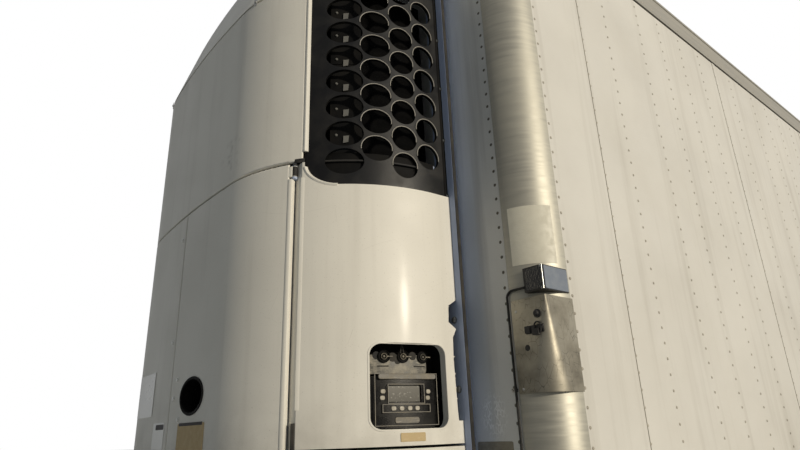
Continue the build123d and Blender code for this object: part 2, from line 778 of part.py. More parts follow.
def hanger_places():
    """The spring hangers before, between and after the two axles."""
    return (AXLE_X[0] - HANGER_FROM_AXLE, (AXLE_X[0] + AXLE_X[1]) / 2, AXLE_X[1] + HANGER_FROM_AXLE)


def leaf(axle_x, upper_radius, half_span, centre_z):
    """One curved leaf, whose faces are arcs about a centre high over the axle."""
    y = FRAME_RAIL_Y - LEAF_WIDTH / 2
    turn = math.asin(half_span / upper_radius)
    lower_radius = upper_radius + LEAF_THICKNESS

    def at(radius, angle):
        return (axle_x + radius * math.sin(angle), y, centre_z - radius * math.cos(angle))

    lines = [
        ThreePointArc(at(upper_radius, -turn), at(upper_radius, 0), at(upper_radius, turn)),
        Line(at(upper_radius, turn), at(lower_radius, turn)),
        ThreePointArc(at(lower_radius, turn), at(lower_radius, 0), at(lower_radius, -turn)),
        Line(at(lower_radius, -turn), at(upper_radius, -turn)),
    ]
    return extrude(make_face(Curve() + lines), amount=LEAF_WIDTH, dir=(0, 1, 0))


def spring_clamp(axle_x):
    """The top plate, bottom plate and U-bolt legs that hold a spring on its axle."""
    half_y = LEAF_WIDTH / 2 + 2 * U_BOLT_RADIUS + SEAT_FIT
    half_x = AXLE_TUBE_RADIUS + 3 * U_BOLT_RADIUS
    top = SPRING_SEAT_TOP + LEAF_PACK
    bottom = TYRE_RADIUS - AXLE_TUBE_RADIUS - SEAT_FIT
    x = (axle_x - half_x, axle_x + half_x)
    y = (FRAME_RAIL_Y - half_y, FRAME_RAIL_Y + half_y)
    clamp = block(x, y, (top, top + CLAMP_PLATE)) + block(x, y, (bottom - CLAMP_PLATE, bottom))
    for along in (-1, 1):
        for across in (-1, 1):
            leg_x = axle_x + along * (half_x - 1.5 * U_BOLT_RADIUS)
            leg_y = FRAME_RAIL_Y + across * (half_y - U_BOLT_RADIUS)
            foot = (leg_x, leg_y, bottom - 2 * CLAMP_PLATE)
            head = (leg_x, leg_y, top + 2 * CLAMP_PLATE)
            clamp += rod(foot, head, U_BOLT_RADIUS)
    return clamp


def leaf_springs():
    """Packs of arched leaves clamped over the axles, their tips under the hangers."""
    half_span = AXLE_SPREAD / 2 - LEAF_TIP_GAP
    main_radius = (half_span**2 + LEAF_RISE**2) / (2 * LEAF_RISE)
    centre_z = SPRING_SEAT_TOP + LEAF_PACK + main_radius
    packs = []
    for axle_x in AXLE_X:
        pack = spring_clamp(axle_x)
        for i, share in enumerate(LEAF_SHARES):
            pack += leaf(axle_x, main_radius + i * LEAF_THICKNESS, share * half_span, centre_z)
        packs += both_sides(pack)
    return packs


def axle(axle_x):
    """A tube with spring seats, brake chambers and a spindle at each end."""
    z = TYRE_RADIUS
    shoulder = wheel_inner_face() - SPRING_SEAT
    tube = rod((axle_x, -shoulder, z), (axle_x, shoulder, z), AXLE_TUBE_RADIUS)
    spindle_end = DUAL_OUTER_FACE - SPINDLE_SET
    tube += rod((axle_x, -spindle_end, z), (axle_x, spindle_end, z), SPINDLE_RADIUS)
    half = LEAF_WIDTH / 2
    centre = (axle_x + CHAMBER_BACK, z + CHAMBER_RISE)
    for _, side in SIDES:
        y = side * FRAME_RAIL_Y
        seat_x = (axle_x - SPRING_SEAT, axle_x + SPRING_SEAT)
        tube += block(seat_x, (y - half, y + half), (z, SPRING_SEAT_TOP))
        face_y = side * (FRAME_RAIL_Y - CHAMBER_INBOARD)
        far_y = face_y - side * CHAMBER_LENGTH
        tube += rod((centre[0], face_y, centre[1]), (centre[0], far_y, centre[1]), CHAMBER_RADIUS)
        bracket_y = sorted((face_y - side * 2 * U_BOLT_RADIUS, face_y - side * 4 * U_BOLT_RADIUS))
        tube += block((axle_x, centre[0]), bracket_y, (z - U_BOLT_RADIUS, centre[1] + U_BOLT_RADIUS))
    return tube


def wheel_inner_face():
    """How far out the inner face of the inner tyre lies."""
    return DUAL_OUTER_FACE - TYRE_WIDTH - DUAL_SPACING


def tyre(axle_x, y_centre):
    """A tyre's outline turned about the axle, with four tread grooves."""
    half = TYRE_WIDTH / 2
    bead = RIM_WIDTH / 2
    radius = TYRE_RADIUS
    inner = RIM_RADIUS + SEAT_FIT
    floor = radius - TREAD_GROOVE_DEPTH
    wide = TREAD_GROOVE_WIDTH / 2
    narrow = TREAD_GROOVE_WIDTH / 4
    tread = []
    for y in TREAD_GROOVES:
        tread += [(radius, y - wide), (floor, y - narrow), (floor, y + narrow), (radius, y + wide)]
    sidewall = [
        (0, bead - 6),
        (20, bead + 1),
        (60, half - 8),
        (105, half),
        (150, half - 6),
        (radius - 14 - inner, half - 24),
    ]
    outline = [(inner + rise, -y) for rise, y in sidewall]
    outline += tread
    outline += [(inner + rise, y) for rise, y in reversed(sidewall)]
    return turned(outline, axle_x, y_centre, TYRE_RADIUS)


def rim(axle_x, y_centre, middle, sign):
    """A barrel with bead lips, and the dished disc that meets its twin at the middle."""
    bead = RIM_WIDTH / 2
    inside = RIM_RADIUS - RIM_WALL
    lip = RIM_RADIUS + RIM_LIP
    barrel = [
        (inside, -bead),
        (lip, -bead - 10),
        (lip, -bead - 2),
        (RIM_RADIUS, -bead + 4),
        (RIM_RADIUS, bead - 4),
        (lip, bead + 2),
        (lip, bead + 10),
        (inside, bead),
    ]
    reach = middle - y_centre
    back = reach - sign * DISC_THICKNESS
    disc = [
        (HUB_RADIUS - 20, reach),
        (DISC_FLAT, reach),
        (inside + 1, reach - sign * DISC_DISH),
        (inside + 1, back - sign * DISC_DISH),
        (DISC_FLAT + 4, back),
        (HUB_RADIUS - 20, back),
    ]
    z = TYRE_RADIUS
    return turned(barrel, axle_x, y_centre, z) + turned(disc, axle_x, y_centre, z)


def hub(axle_x):
    """The brake drum, hub and oil cap in one turned shape, bored for the spindle."""
    hub_out = DUAL_OUTER_FACE - 105
    drum_in = wheel_inner_face() + 6
    bore = SPINDLE_RADIUS + RUNNING_FIT
    bore_end = DUAL_OUTER_FACE - SPINDLE_SET + 2
    outline = [
        (bore, drum_in + 10),
        (DRUM_RADIUS - DRUM_WALL, drum_in + 10),
        (DRUM_RADIUS - DRUM_WALL, drum_in),
        (DRUM_RADIUS, drum_in),
        (DRUM_RADIUS, drum_in + 0.75 * DRUM_WIDTH),
        (HUB_RADIUS + 40, drum_in + DRUM_WIDTH),
        (HUB_RADIUS - 18, drum_in + DRUM_WIDTH + 20),
        (HUB_RADIUS - 20, hub_out - 40),
        (HUB_CAP_RADIUS + 18, hub_out),
        (HUB_CAP_RADIUS, hub_out),
        (HUB_CAP_RADIUS - 4, hub_out + HUB_CAP_REACH),
        (0, hub_out + HUB_CAP_REACH),
        (0, bore_end),
        (bore, bore_end),
    ]
    return turned(outline, axle_x, 0, TYRE_RADIUS)


def around(axle_x, circle, count, turn=0):
    """Places spaced evenly on a circle about a wheel's axis, as (x, z)."""
    angles = [math.radians(turn + 360 * i / count) for i in range(count)]
    return [(axle_x + circle * math.cos(a), TYRE_RADIUS + circle * math.sin(a)) for a in angles]


def wheel(axle_x, side):
    """Two disc wheels back to back on one hub and brake drum."""
    outer = DUAL_OUTER_FACE - TYRE_WIDTH / 2
    inner = outer - DUAL_SPACING
    middle = (outer + inner) / 2
    pieces = rim(axle_x, outer, middle, -1) + rim(axle_x, inner, middle, 1) + hub(axle_x)
    for x, z in around(axle_x, HAND_HOLE_CIRCLE, HAND_HOLES, turn=36):
        pieces -= rod((x, outer + DUAL_SPACING / 2, z), (x, inner - DUAL_SPACING / 2, z), HAND_HOLE_RADIUS)
    for x, z in around(axle_x, STUD_CIRCLE, STUDS):
        pieces += rod((x, middle + DISC_THICKNESS - 1, z), (x, middle + NUT_REACH, z), NUT_RADIUS)
    return to_side(pieces, side)


def tyres(axle_x, side):
    outer = DUAL_OUTER_FACE - TYRE_WIDTH / 2
    return [to_side(tyre(axle_x, y), side) for y in (outer, outer - DUAL_SPACING)]


def mudflaps():
    """A flap behind each pair of wheels, on a bar from the bogie rail."""
    x = AXLE_X[1] + TYRE_RADIUS + MUDFLAP_BACK
    low, high = MUDFLAP_HEIGHT
    outer = DUAL_OUTER_FACE - 20
    flap = block((x, x + MUDFLAP_THICKNESS), (wheel_inner_face(), outer), (low, high))
    start = FRAME_RAIL_Y + FRAME_RAIL_WIDTH / 2
    bar = block((x - 10, x + MUDFLAP_BAR - 10), (start, outer + 5), (high, high + MUDFLAP_BAR))
    return both_sides(flap + bar)


def rear_guard():
    """The bumper bar that hangs below the rear sill."""
    half = HALF - GUARD_INSET
    bar = block((END_X - GUARD_SET[0], END_X - GUARD_SET[1]), (-half, half), GUARD_HEIGHT)
    middle = END_X - sum(GUARD_SET) / 2
    depth, width = GUARD_UPRIGHT_SIZE
    for y in (-GUARD_UPRIGHT_Y, GUARD_UPRIGHT_Y):
        bar += block(
            (middle - depth / 2, middle + depth / 2),
            (y - width / 2, y + width / 2),
            (GUARD_HEIGHT[1], SILL_LOW),
        )
    return bar


def fuel_tank():
    """The refrigeration unit's round tank, slung across the underside on straps."""
    x = nearest_crossmember(LEG_X + FUEL_TANK_BEHIND_LEGS)
    radius = FUEL_TANK_RADIUS
    half = FUEL_TANK_HALF
    z = CROSSMEMBER_LOW - radius - FUEL_TANK_GAP
    body = rod((x, -half, z), (x, half, z), radius)
    body = fillet(body.edges().filter_by(GeomType.CIRCLE), FUEL_TANK_ROUND)
    near = radius * math.sqrt(0.5) - FUEL_CAP_RADIUS
    far = near + 2 * FUEL_CAP_RADIUS
    cap_y = -half + 2 * FUEL_CAP_RADIUS
    body += rod((x + near, cap_y, z + near), (x + far, cap_y, z + far), FUEL_CAP_RADIUS)
    straps = []
    width = FUEL_STRAP_WIDTH / 2
    for y in (-FUEL_STRAP_Y, FUEL_STRAP_Y):
        ends = ((x, y - width, z), (x, y + width, z))
        ring = rod(*ends, radius + FUEL_STRAP_THICKNESS) - rod(*ends, radius)
        hanger = block((x - width, x + width), (y - width, y + width), (z + radius + 2, CROSSMEMBER_LOW))
        straps.append(ring + hanger)
    return [body, *straps]


def air_tanks():
    """Two brake air tanks hung from a pair of crossmembers ahead of the tandem."""
    rear_beam = nearest_crossmember(AXLE_X[0] - AIR_TANK_AHEAD)
    beams = (rear_beam - CROSSMEMBER_PITCH, rear_beam)
    z = SLIDE_RAIL_LOW - AIR_TANK_DROP
    tanks = []
    for y in (-AIR_TANK_Y, AIR_TANK_Y):
        tank = rod((beams[0] - 100, y, z), (beams[1] + 100, y, z), AIR_TANK_RADIUS)
        tank = fillet(tank.edges().filter_by(GeomType.CIRCLE), AIR_TANK_ROUND)
        for strap_x in beams:
            height = (z + AIR_TANK_RADIUS - 20, CROSSMEMBER_LOW)
            tank += block((strap_x - 15, strap_x + 15), (y - 10, y + 10), height)
        tanks.append(tank)
    return tanks


# Rear frame and doors


def lamp_places():
    """(y, z) of the round lamps in the rear sill, on both sides."""
    return [(side * y, (SILL_LOW + FLOOR_TOP) / 2) for side in (-1, 1) for y in TAIL_LAMP_Y]


def hinge_heights():
    """The middle heights of the hinge straps on a rear door."""
    low, high = FLOOR_TOP + HINGE_END_GAP, TOP_RAIL_LOW - HINGE_END_GAP
    return [low + i * (high - low) / (HINGE_COUNT - 1) for i in range(HINGE_COUNT)]


def hinge_axis():
    """The kerb side rear door's hinge axis, as (x, y)."""
    return END_X + HINGE_BACK, HALF - HINGE_INSET


def hinge_lug(z, edge):
    """A lug of the door frame above or below one hinge strap."""
    pin_x, pin_y = hinge_axis()
    near = z + edge * (STRAP_HEIGHT / 2 + 1)
    far = near + edge * LUG_HEIGHT
    lug = block((END_X, pin_x), (pin_y - KNUCKLE, pin_y + KNUCKLE), sorted((near, far)))
    return lug + rod((pin_x, pin_y, near), (pin_x, pin_y, far), KNUCKLE)


def rear_frame():
    """The door frame: posts, header and sill in one, with hinge lugs, pins and lamp pockets."""
    x = (FRAME_X, END_X)
    frame = block(x, (-HALF, HALF), (SILL_LOW, OVERALL_HEIGHT))
    half_open = HALF - REAR_POST
    frame -= block(x, (-half_open, half_open), (FLOOR_TOP, OVERALL_HEIGHT - HEADER_HEIGHT))
    for y, z in lamp_places():
        frame -= rod((END_X, y, z), (END_X - LAMP_DEPTH, y, z), LAMP_RADIUS + SEAT_FIT)
    pin_x, pin_y = hinge_axis()
    reach = STRAP_HEIGHT / 2 + 2
    for z in hinge_heights():
        fittings = hinge_lug(z, -1) + hinge_lug(z, 1)
        fittings += rod((pin_x, pin_y, z - reach), (pin_x, pin_y, z + reach), HINGE_PIN)
        frame += fittings
        frame += to_side(fittings, -1)
    return frame


def dock_bumpers():
    bumper = block(
        (END_X, END_X + BUMPER_PROUD),
        (HALF - BUMPER_INSET[1], HALF - BUMPER_INSET[0]),
        BUMPER_HEIGHT,
    )
    bumper = fillet(bumper.edges().filter_by(Axis.Y).group_by(Axis.X)[-1], BUMPER_ROUND)
    return both_sides(bumper)


def door_limits():
    """The door leaf's inner and outer edge in Y, and its height range."""
    inner = DOOR_MEETING_GAP / 2
    outer = HALF - REAR_POST - DOOR_EDGE_GAP
    heights = (FLOOR_TOP + DOOR_EDGE_GAP, OVERALL_HEIGHT - HEADER_HEIGHT - DOOR_EDGE_GAP)
    return inner, outer, heights


def rear_door(side):
    """A thick leaf whose edges taper inward so that it swings clear."""
    inner, outer, heights = door_limits()
    leaf = prism_z(
        [
            (END_X, inner),
            (END_X, outer),
            (END_X - DOOR_FACE, outer),
            (END_X - DOOR_THICKNESS, outer - HINGE_TAPER),
            (END_X - DOOR_THICKNESS, inner + PLUG_TAPER),
            (END_X - DOOR_FACE, inner),
        ],
        heights,
    )
    return to_side(leaf, side)


def door_hinges(side):
    """Straps from the hinge pins round onto the door's face."""
    pin_x, pin_y = hinge_axis()
    _, outer, _ = door_limits()
    straps = []
    for z in hinge_heights():
        height = (z - STRAP_HEIGHT / 2, z + STRAP_HEIGHT / 2)
        strap = prism_z(
            [
                (pin_x + 3, pin_y - 6),
                (END_X + STRAP_THICKNESS, outer - 20),
                (END_X + STRAP_THICKNESS, outer - STRAP_REACH),
                (END_X, outer - STRAP_REACH),
                (END_X, outer - 14),
                (pin_x - 8, pin_y - 6),
            ],
            height,
        )
        strap += rod((pin_x, pin_y, height[0]), (pin_x, pin_y, height[1]), KNUCKLE)
        strap -= rod((pin_x, pin_y, height[0]), (pin_x, pin_y, height[1]), HINGE_PIN + RUNNING_FIT)
        straps.append(to_side(strap, side))
    return straps


def lock_rod_places():
    """How far out a door's two locking bars stand, which way each handle points, and its rise."""
    inner, outer, _ = door_limits()
    places = (inner + LOCK_ROD_FROM_MIDDLE, outer - LOCK_ROD_FROM_EDGE)
    return tuple(zip(places, (1, -1), HANDLE_RISE))


def lock_cam_heights():
    _, _, heights = door_limits()
    return (heights[0] - LOCK_CAM_REACH, heights[1] + LOCK_CAM_REACH)


def lock_rods(side):
    """Two locking bars on a door, with guides, cams and a handle each."""
    _, _, heights = door_limits()
    rod_x = END_X + LOCK_ROD_SET
    guide_y, guide_z = (size / 2 for size in LOCK_GUIDE_SIZE)
    cam_y, cam_z = (size / 2 for size in LOCK_CAM_SIZE)
    handle_x, handle_z = (size / 2 for size in HANDLE_SIZE)
    first = heights[0] + LOCK_GUIDE_END
    pitch = (heights[1] - heights[0] - 2 * LOCK_GUIDE_END) / (LOCK_GUIDES - 1)
    bars = []
    for y, way, rise in lock_rod_places():
        bar = rod((rod_x, y, heights[0] - LOCK_ROD_REACH), (rod_x, y, heights[1] + LOCK_ROD_REACH), LOCK_ROD)
        for z in [first + i * pitch for i in range(LOCK_GUIDES)]:
            bar += block((END_X, rod_x + handle_x), (y - guide_y, y + guide_y), (z - guide_z, z + guide_z))
        for z in lock_cam_heights():
            bar += block((END_X + handle_x, rod_x + cam_z), (y - cam_y, y + cam_y), (z - cam_z, z + cam_z))
        grip_z = heights[0] + rise
        grip_y = sorted((y, y + way * HANDLE_LENGTH))
        grip_x = (rod_x - handle_x / 2, rod_x + 1.5 * handle_x)
        bar += block(grip_x, grip_y, (grip_z - handle_z, grip_z + handle_z))
        bars.append(to_side(bar, side))
    return bars


def lock_keepers():
    """Keepers on the header and sill, open to the rear so that the cams swing out."""
    keepers = []
    for y, _, _ in lock_rod_places():
        for z in lock_cam_heights():
            height = (z - KEEPER_HEIGHT / 2, z + KEEPER_HEIGHT / 2)
            for edge in (-1, 1):
                near = y + edge * KEEPER_GAP
                width = sorted((near, near + edge * KEEPER_THICKNESS))
                keepers += both_sides(block((END_X, END_X + KEEPER_DEPTH), width, height))
    return keepers


def tail_lamps():
    """Round lamps with a rounded lens, set into the sill."""
    lamps = []
    for y, z in lamp_places():
        lamp = rod((END_X - LAMP_DEPTH, y, z), (END_X + LAMP_PROUD, y, z), LAMP_RADIUS)
        lamps.append(fillet(lamp.edges().filter_by(GeomType.CIRCLE).group_by(Axis.X)[-1], LAMP_ROUND))
    return lamps


def marker_lamps():
    """Clearance lamps on the bottom rails, the header and the front top rail."""
    long, tall, proud = MARKER_HALF_LENGTH, MARKER_HALF_HEIGHT, MARKER_PROUD
    z = BOTTOM_RAIL_LOW + 60
    lamps = []
    for x in (FRONT_X + 400, (FRONT_X + END_X) / 2, END_X - 350):
        lamps += both_sides(block((x - long, x + long), (HALF, HALF + proud), (z - tall, z + tall)))
    top = TOP_RAIL_LOW + TOP_RAIL_HEIGHT / 2
    corner = HALF - MARKER_INSET
    for y in (-corner, -3 * long, 0, 3 * long, corner):
        lamps.append(block((END_X, END_X + proud), (y - long, y + long), (top - tall, top + tall)))
    for y in (-corner, corner):
        lamps.append(block((FRONT_X - proud, FRONT_X), (y - long, y + long), (top - tall, top + tall)))
    return lamps


# Refrigeration unit


def unit_corner():
    """Where the unit's big round corner has its centre, and where it meets the bowed front."""
    taper = math.radians(UNIT_TAPER)
    start = (UNIT_HALF_WIDTH - UNIT_CORNER_RADIUS * math.cos(taper), -UNIT_CORNER_RADIUS * math.sin(taper))
    bow_centre = UNIT_DEPTH - UNIT_FRONT_RADIUS
    reach = UNIT_FRONT_RADIUS - UNIT_CORNER_RADIUS
    away = (start[0], start[1] - bow_centre)
    along = away[1] * math.cos(taper) - away[0] * math.sin(taper)
    travel = math.sqrt(along**2 - away[0] ** 2 - away[1] ** 2 + reach**2) - along
    centre = (start[0] - travel * math.sin(taper), start[1] + travel * math.cos(taper))
    lean = math.atan2(centre[0], centre[1] - bow_centre)
    return centre, lean


def unit_plan(inset, back=0):
    """The unit seen from above: a gently bowed front, big round corners, tapered sides."""
    taper = math.radians(UNIT_TAPER)
    (centre_y, centre_depth), lean = unit_corner()
    corner_radius = UNIT_CORNER_RADIUS - inset
    front_radius = UNIT_FRONT_RADIUS - inset
    bow_centre = UNIT_DEPTH - UNIT_FRONT_RADIUS

    def on_corner(angle):
        return (centre_y + corner_radius * math.cos(angle), centre_depth + corner_radius * math.sin(angle))

    side_end = on_corner(taper)
    middle = on_corner((taper + math.pi / 2 - lean) / 2)
    join = (front_radius * math.sin(lean), bow_centre + front_radius * math.cos(lean))
    root = (side_end[0] + (side_end[1] - back) * math.tan(taper), back)
    nose = (0, bow_centre + front_radius)

    def at(point, side):
        return (FRONT_X - point[1], side * point[0])

    lines = []
    for side in (-1, 1):
        lines.append(Line(at(root, side), at(side_end, side)))
        lines.append(ThreePointArc(at(side_end, side), at(middle, side), at(join, side)))
    lines.append(ThreePointArc(at(join, -1), at(nose, 1), at(join, 1)))
    lines.append(Line(at(root, -1), at(root, 1)))
    return make_face(Curve() + lines)


def skin_at(depth, inset=0):
    """The half width of the unit's skin at a depth on its round corner, and the skin's angle there."""
    (centre_y, centre_depth), _ = unit_corner()
    radius = UNIT_CORNER_RADIUS - inset
    angle = math.asin((depth - centre_depth) / radius)
    return centre_y + radius * math.cos(angle), angle


def unit_shell(z, outer=0, thickness=UNIT_SHELL, back=SHELL_BACK):
    """The unit's skin between two heights, open at the back."""
    height = z[1] - z[0]
    inside = upward(unit_plan(outer + thickness, back - 1), height, z[0])
    return upward(unit_plan(outer, back), height, z[0]) - inside


def unit_region(depth, y, z):
    """A block in front of the box, from depths measured forward of its front face."""
    return block((FRONT_X - depth[1], FRONT_X - depth[0]), y, z)


def window(depth, z, radius, side):
    """A cutter for a rounded opening in one side of the unit."""
    x = (FRONT_X - depth[1], FRONT_X - depth[0])
    middle = ((x[0] + x[1]) / 2, (z[0] + z[1]) / 2)
    face = RectangleRounded(x[1] - x[0], z[1] - z[0], radius)
    plane = Plane(origin=(middle[0], 0, middle[1]), x_dir=(1, 0, 0), z_dir=(0, side, 0))
    return extrude(plane * face, amount=BODY_WIDTH / 2, dir=(0, side, 0))


def grille_window(side, gap=0):
    """The grille's outline: round at its low front corner, and running out at the rear."""
    depth = (-200, GRILLE_FRONT_DEPTH - gap)
    return window(depth, (GRILLE_LOW + gap, GRILLE_TOP - gap), GRILLE_CORNER, side)


def unit_frame():
    """The frame bolted to the box: flanged sheet, base tray, shelf and hinge posts."""
    low, height = UNIT_LOW, UNIT_TOP - FRAME_TOP_DROP - UNIT_LOW
    front = FRONT_X - FLANGE_DEPTH
    back = FRONT_X + SKIN_SET
    frame = upward(unit_plan(FRAME_INSET, -SKIN_SET), height, low)
    frame -= upward(unit_plan(FRAME_INSET + FRAME_SHEET, -2 * SKIN_SET), height, low)
    frame &= block((front, back), (-HALF, HALF), (low, low + height))
    flange = upward(unit_plan(-FLANGE_PROUD, FLANGE_DEPTH), height, low)
    flange -= upward(unit_plan(FLANGE_REACH, FLANGE_DEPTH - 1), height, low)
    frame += flange & block((front - FLANGE_THICKNESS, front), (-HALF, HALF), (low, low + height))
    frame += upward(unit_plan(UNIT_SHELL + DOOR_CLEARANCE, -SKIN_SET), TRAY_THICKNESS, low)
    shelf_low = MID_SEAM - SEAM_GAP / 2 + SHELF_GAP
    frame += upward(unit_plan(UNIT_SHELL + SEAT_FIT, -SKIN_SET), SHELF_THICKNESS, shelf_low)
    for _, side in SIDES:
        frame += hinge_post(side)
    return frame


def end_edge(skin, depth, side):
    """The outer upright edge of a piece of the unit's skin, where it is cut off at a depth."""
    x = FRONT_X - depth
    ends = skin.edges().filter_by(Axis.Z).filter_by(lambda edge: abs(edge.center().X - x) < 0.1)
    return ends.sort_by(Axis.Y)[-1 if side > 0 else 0]


def outer_arcs(skin):
    """The curved edges round the outside of a piece of the unit's skin."""
    radii = (UNIT_CORNER_RADIUS, UNIT_FRONT_RADIUS)
    arcs = skin.edges().filter_by(GeomType.CIRCLE)
    return arcs.filter_by(lambda arc: min(abs(arc.radius - radius) for radius in radii) < 0.01)


def unit_hinge_axis():
    """The front door's hinge axis on the kerb side, in the groove beside the side panel."""
    depth = SIDE_SEAM_DEPTH - HINGE_GROOVE / 2
    y, _ = skin_at(depth, UNIT_HINGE_INSET)
    return FRONT_X - depth, y


def unit_hinge_heights():
    """The (low, high) height of each knuckle on a front door."""
    low, high = UNIT_LOW + DOOR_RISE + UNIT_HINGE_END_GAP, MID_SEAM - UNIT_HINGE_END_GAP
    return [(z - UNIT_HINGE_HEIGHT / 2, z + UNIT_HINGE_HEIGHT / 2) for z in (low, high)]


def front_top_edges(shape):
    """The top edges of a shape, apart from the one along its back."""
    top = shape.edges().group_by(Axis.Z)[-1]
    return top.filter_by(lambda edge: edge.center().X < FRONT_X - SHELL_BACK - 5)


def hinge_post(side):
    """A curved strip behind the groove, with lugs and pins for the door's hinges."""
    z = (UNIT_LOW, MID_SEAM + SHELF_GAP)
    strip = unit_shell(z, outer=UNIT_SHELL + POST_CLEARANCE, thickness=6)
    depth = (SIDE_SEAM_DEPTH - HINGE_GROOVE - 50, SIDE_SEAM_DEPTH - HINGE_GROOVE / 2)
    post = strip & unit_region(depth, (0, HALF), z)
    pin_x, pin_y = unit_hinge_axis()
    for low, high in unit_hinge_heights():
        for lug_low in (low - 9, high + 1):
            lug = prism_z(
                [
                    (pin_x - 6, pin_y + 2),
                    (pin_x + 6, pin_y + 2),
                    (pin_x + 8, pin_y - 20),
                    (pin_x + 14, pin_y - 32),
                    (pin_x + 4, pin_y - 46),
                    (pin_x - 6, pin_y - 10),
                ],
                (lug_low, lug_low + 8),
            )
            post += lug + rod((pin_x, pin_y, lug_low), (pin_x, pin_y, lug_low + 8), UNIT_KNUCKLE)
        post += rod((pin_x, pin_y, low - 2), (pin_x, pin_y, high + 2), UNIT_HINGE_PIN)
    return to_side(post, side)


def unit_hood():
    """The backward-leaning, round-topped cover over the fans."""
    low = HOOD_SEAM + SEAM_GAP / 2
    room = unit_region((SHELL_BACK, UNIT_DEPTH), (-HALF, HALF), (low, UNIT_TOP))
    cover = leaning(0, low, UNIT_TOP - low) & room
    cover = fillet(front_top_edges(cover), HOOD_ROUND)
    hollow = leaning(UNIT_SHELL, low - 1, UNIT_TOP - UNIT_SHELL - low + 1)
    hollow = fillet(front_top_edges(hollow), HOOD_ROUND - UNIT_SHELL)
    return cover - hollow - [grille_window(-1), grille_window(1)]


def leaning(inset, low, height):
    """The unit's plan raised along a line that leans back towards the box."""
    slope = math.radians(HOOD_LEAN)
    face = unit_plan(inset, SHELL_BACK - 30)
    way = (math.sin(slope), 0, math.cos(slope))
    return Pos(0, 0, low) * extrude(face, amount=height / math.cos(slope), dir=way)


def unit_upper_front():
    """The shell over the doors, between the two grilles."""
    z = (MID_SEAM + SEAM_GAP / 2, HOOD_SEAM - SEAM_GAP / 2)
    skin = unit_shell(z) & unit_region((GRILLE_FRONT_DEPTH, UNIT_DEPTH + 10), (-HALF, HALF), z)
    ends = [end_edge(skin, GRILLE_FRONT_DEPTH, side) for _, side in SIDES]
    return fillet([*outer_arcs(skin), *ends], SKIN_ROUND)


def side_panel_region(side, z):
    """The room of the pieces that lie between the box and the hinge groove."""
    depth = (0, SIDE_SEAM_DEPTH - HINGE_GROOVE)
    return unit_region(depth, sorted((side * 400, side * HALF)), z)


def unit_side_panel(side):
    """The fixed lower panel beside the grille. The roadside one holds the controller and has a torn edge."""
    z = (PANEL_SEAM, MID_SEAM - SEAM_GAP / 2)
    panel = unit_shell(z) & side_panel_region(side, z)
    panel = fillet(end_edge(panel, SIDE_SEAM_DEPTH - HINGE_GROOVE, side), SKIN_ROUND)
    panel -= grille_window(side)
    if side < 0:
        panel -= window((PANEL_REAR_DEPTH, PANEL_FRONT_DEPTH), (PANEL_LOW, PANEL_HIGH), PANEL_CORNER, side)
        panel -= torn_edge()
    return panel


def torn_edge():
    """The piece that has broken away from the rear edge of the roadside panel."""
    edge_x = FRONT_X - SHELL_BACK
    points = [(edge_x - missing, UNIT_LOW + rise) for rise, missing in TEAR]
    points += [(edge_x + 20, points[-1][1]), (edge_x + 20, points[0][1])]
    outline = Polyline(*[(x, -HALF, z) for x, z in points], close=True)
    return extrude(make_face(outline), amount=HALF - 500, dir=(0, 1, 0))


def unit_skirt(side):
    z = (UNIT_LOW + DOOR_RISE, PANEL_SEAM - SEAM_GAP)
    return unit_shell(z) & side_panel_region(side, z)


def unit_door(side):
    """A curved front door from the centre seam round to the hinge groove, with its knuckles."""
    z = (UNIT_LOW + DOOR_RISE, MID_SEAM - SEAM_GAP / 2)
    door = unit_shell(z) & unit_region((SIDE_SEAM_DEPTH, UNIT_DEPTH + 10), (SEAM_GAP / 2, HALF), z)
    meeting_edge = door.edges().filter_by(Axis.Z).sort_by(Axis.X)[0]
    door = fillet([*outer_arcs(door), meeting_edge, end_edge(door, SIDE_SEAM_DEPTH, 1)], SKIN_ROUND)
    pin_x, pin_y = unit_hinge_axis()
    for height in unit_hinge_heights():
        arm = prism_z(
            [
                (pin_x, pin_y + 4),
                (pin_x - 12, pin_y - 2),
                (pin_x - 22, pin_y - 18),
                (pin_x - 22, pin_y - 34),
                (pin_x, pin_y - 8),
            ],
            height,
        )
        door += arm + rod((pin_x, pin_y, height[0]), (pin_x, pin_y, height[1]), UNIT_KNUCKLE)
        door -= rod((pin_x, pin_y, height[0]), (pin_x, pin_y, height[1]), UNIT_HINGE_PIN + RUNNING_FIT)
    if side < 0:
        centre = (FRONT_X - SIDE_SEAM_DEPTH, EXHAUST_Y, UNIT_LOW + EXHAUST_RISE)
        outline = Plane(origin=centre, x_dir=(0, 1, 0), z_dir=(-1, 0, 0)) * Ellipse(*EXHAUST_REACH)
        door -= extrude(outline, amount=UNIT_DEPTH - SIDE_SEAM_DEPTH + 10)
    return to_side(door, side)


def grille(side):
    """A curved panel with a honeycomb of round and oval holes, each bored square to the skin."""
    z = (GRILLE_LOW - 40, GRILLE_TOP + 40)
    skin = unit_shell(z, outer=GRILLE_SET, thickness=GRILLE_THICKNESS)
    panel = skin & grille_window(1, GRILLE_GAP) & unit_region((0, GRILLE_FRONT_DEPTH), (0, HALF), z)
    bores = []
    for depth, lowest, half_width in GRILLE_COLUMNS:
        height = MID_SEAM + lowest
        while height + GRILLE_HOLE + GRILLE_EDGE <= GRILLE_TOP:
            bores.append(grille_bore(depth, height, half_width))
            height += GRILLE_PITCH
    return to_side(panel - bores, side)


def grille_bore(depth, height, half_width):
    """A cutter square to the skin, round or wider than it is high."""
    y, angle = skin_at(depth)
    out = Vector(-math.sin(angle), math.cos(angle), 0)
    along = (math.cos(angle), math.sin(angle), 0)
    start = Vector(FRONT_X - depth, y, height) - out * GRILLE_BORE_REACH
    outline = Plane(origin=start, x_dir=along, z_dir=out) * Ellipse(half_width, GRILLE_HOLE)
    return extrude(outline, amount=2 * GRILLE_BORE_REACH)


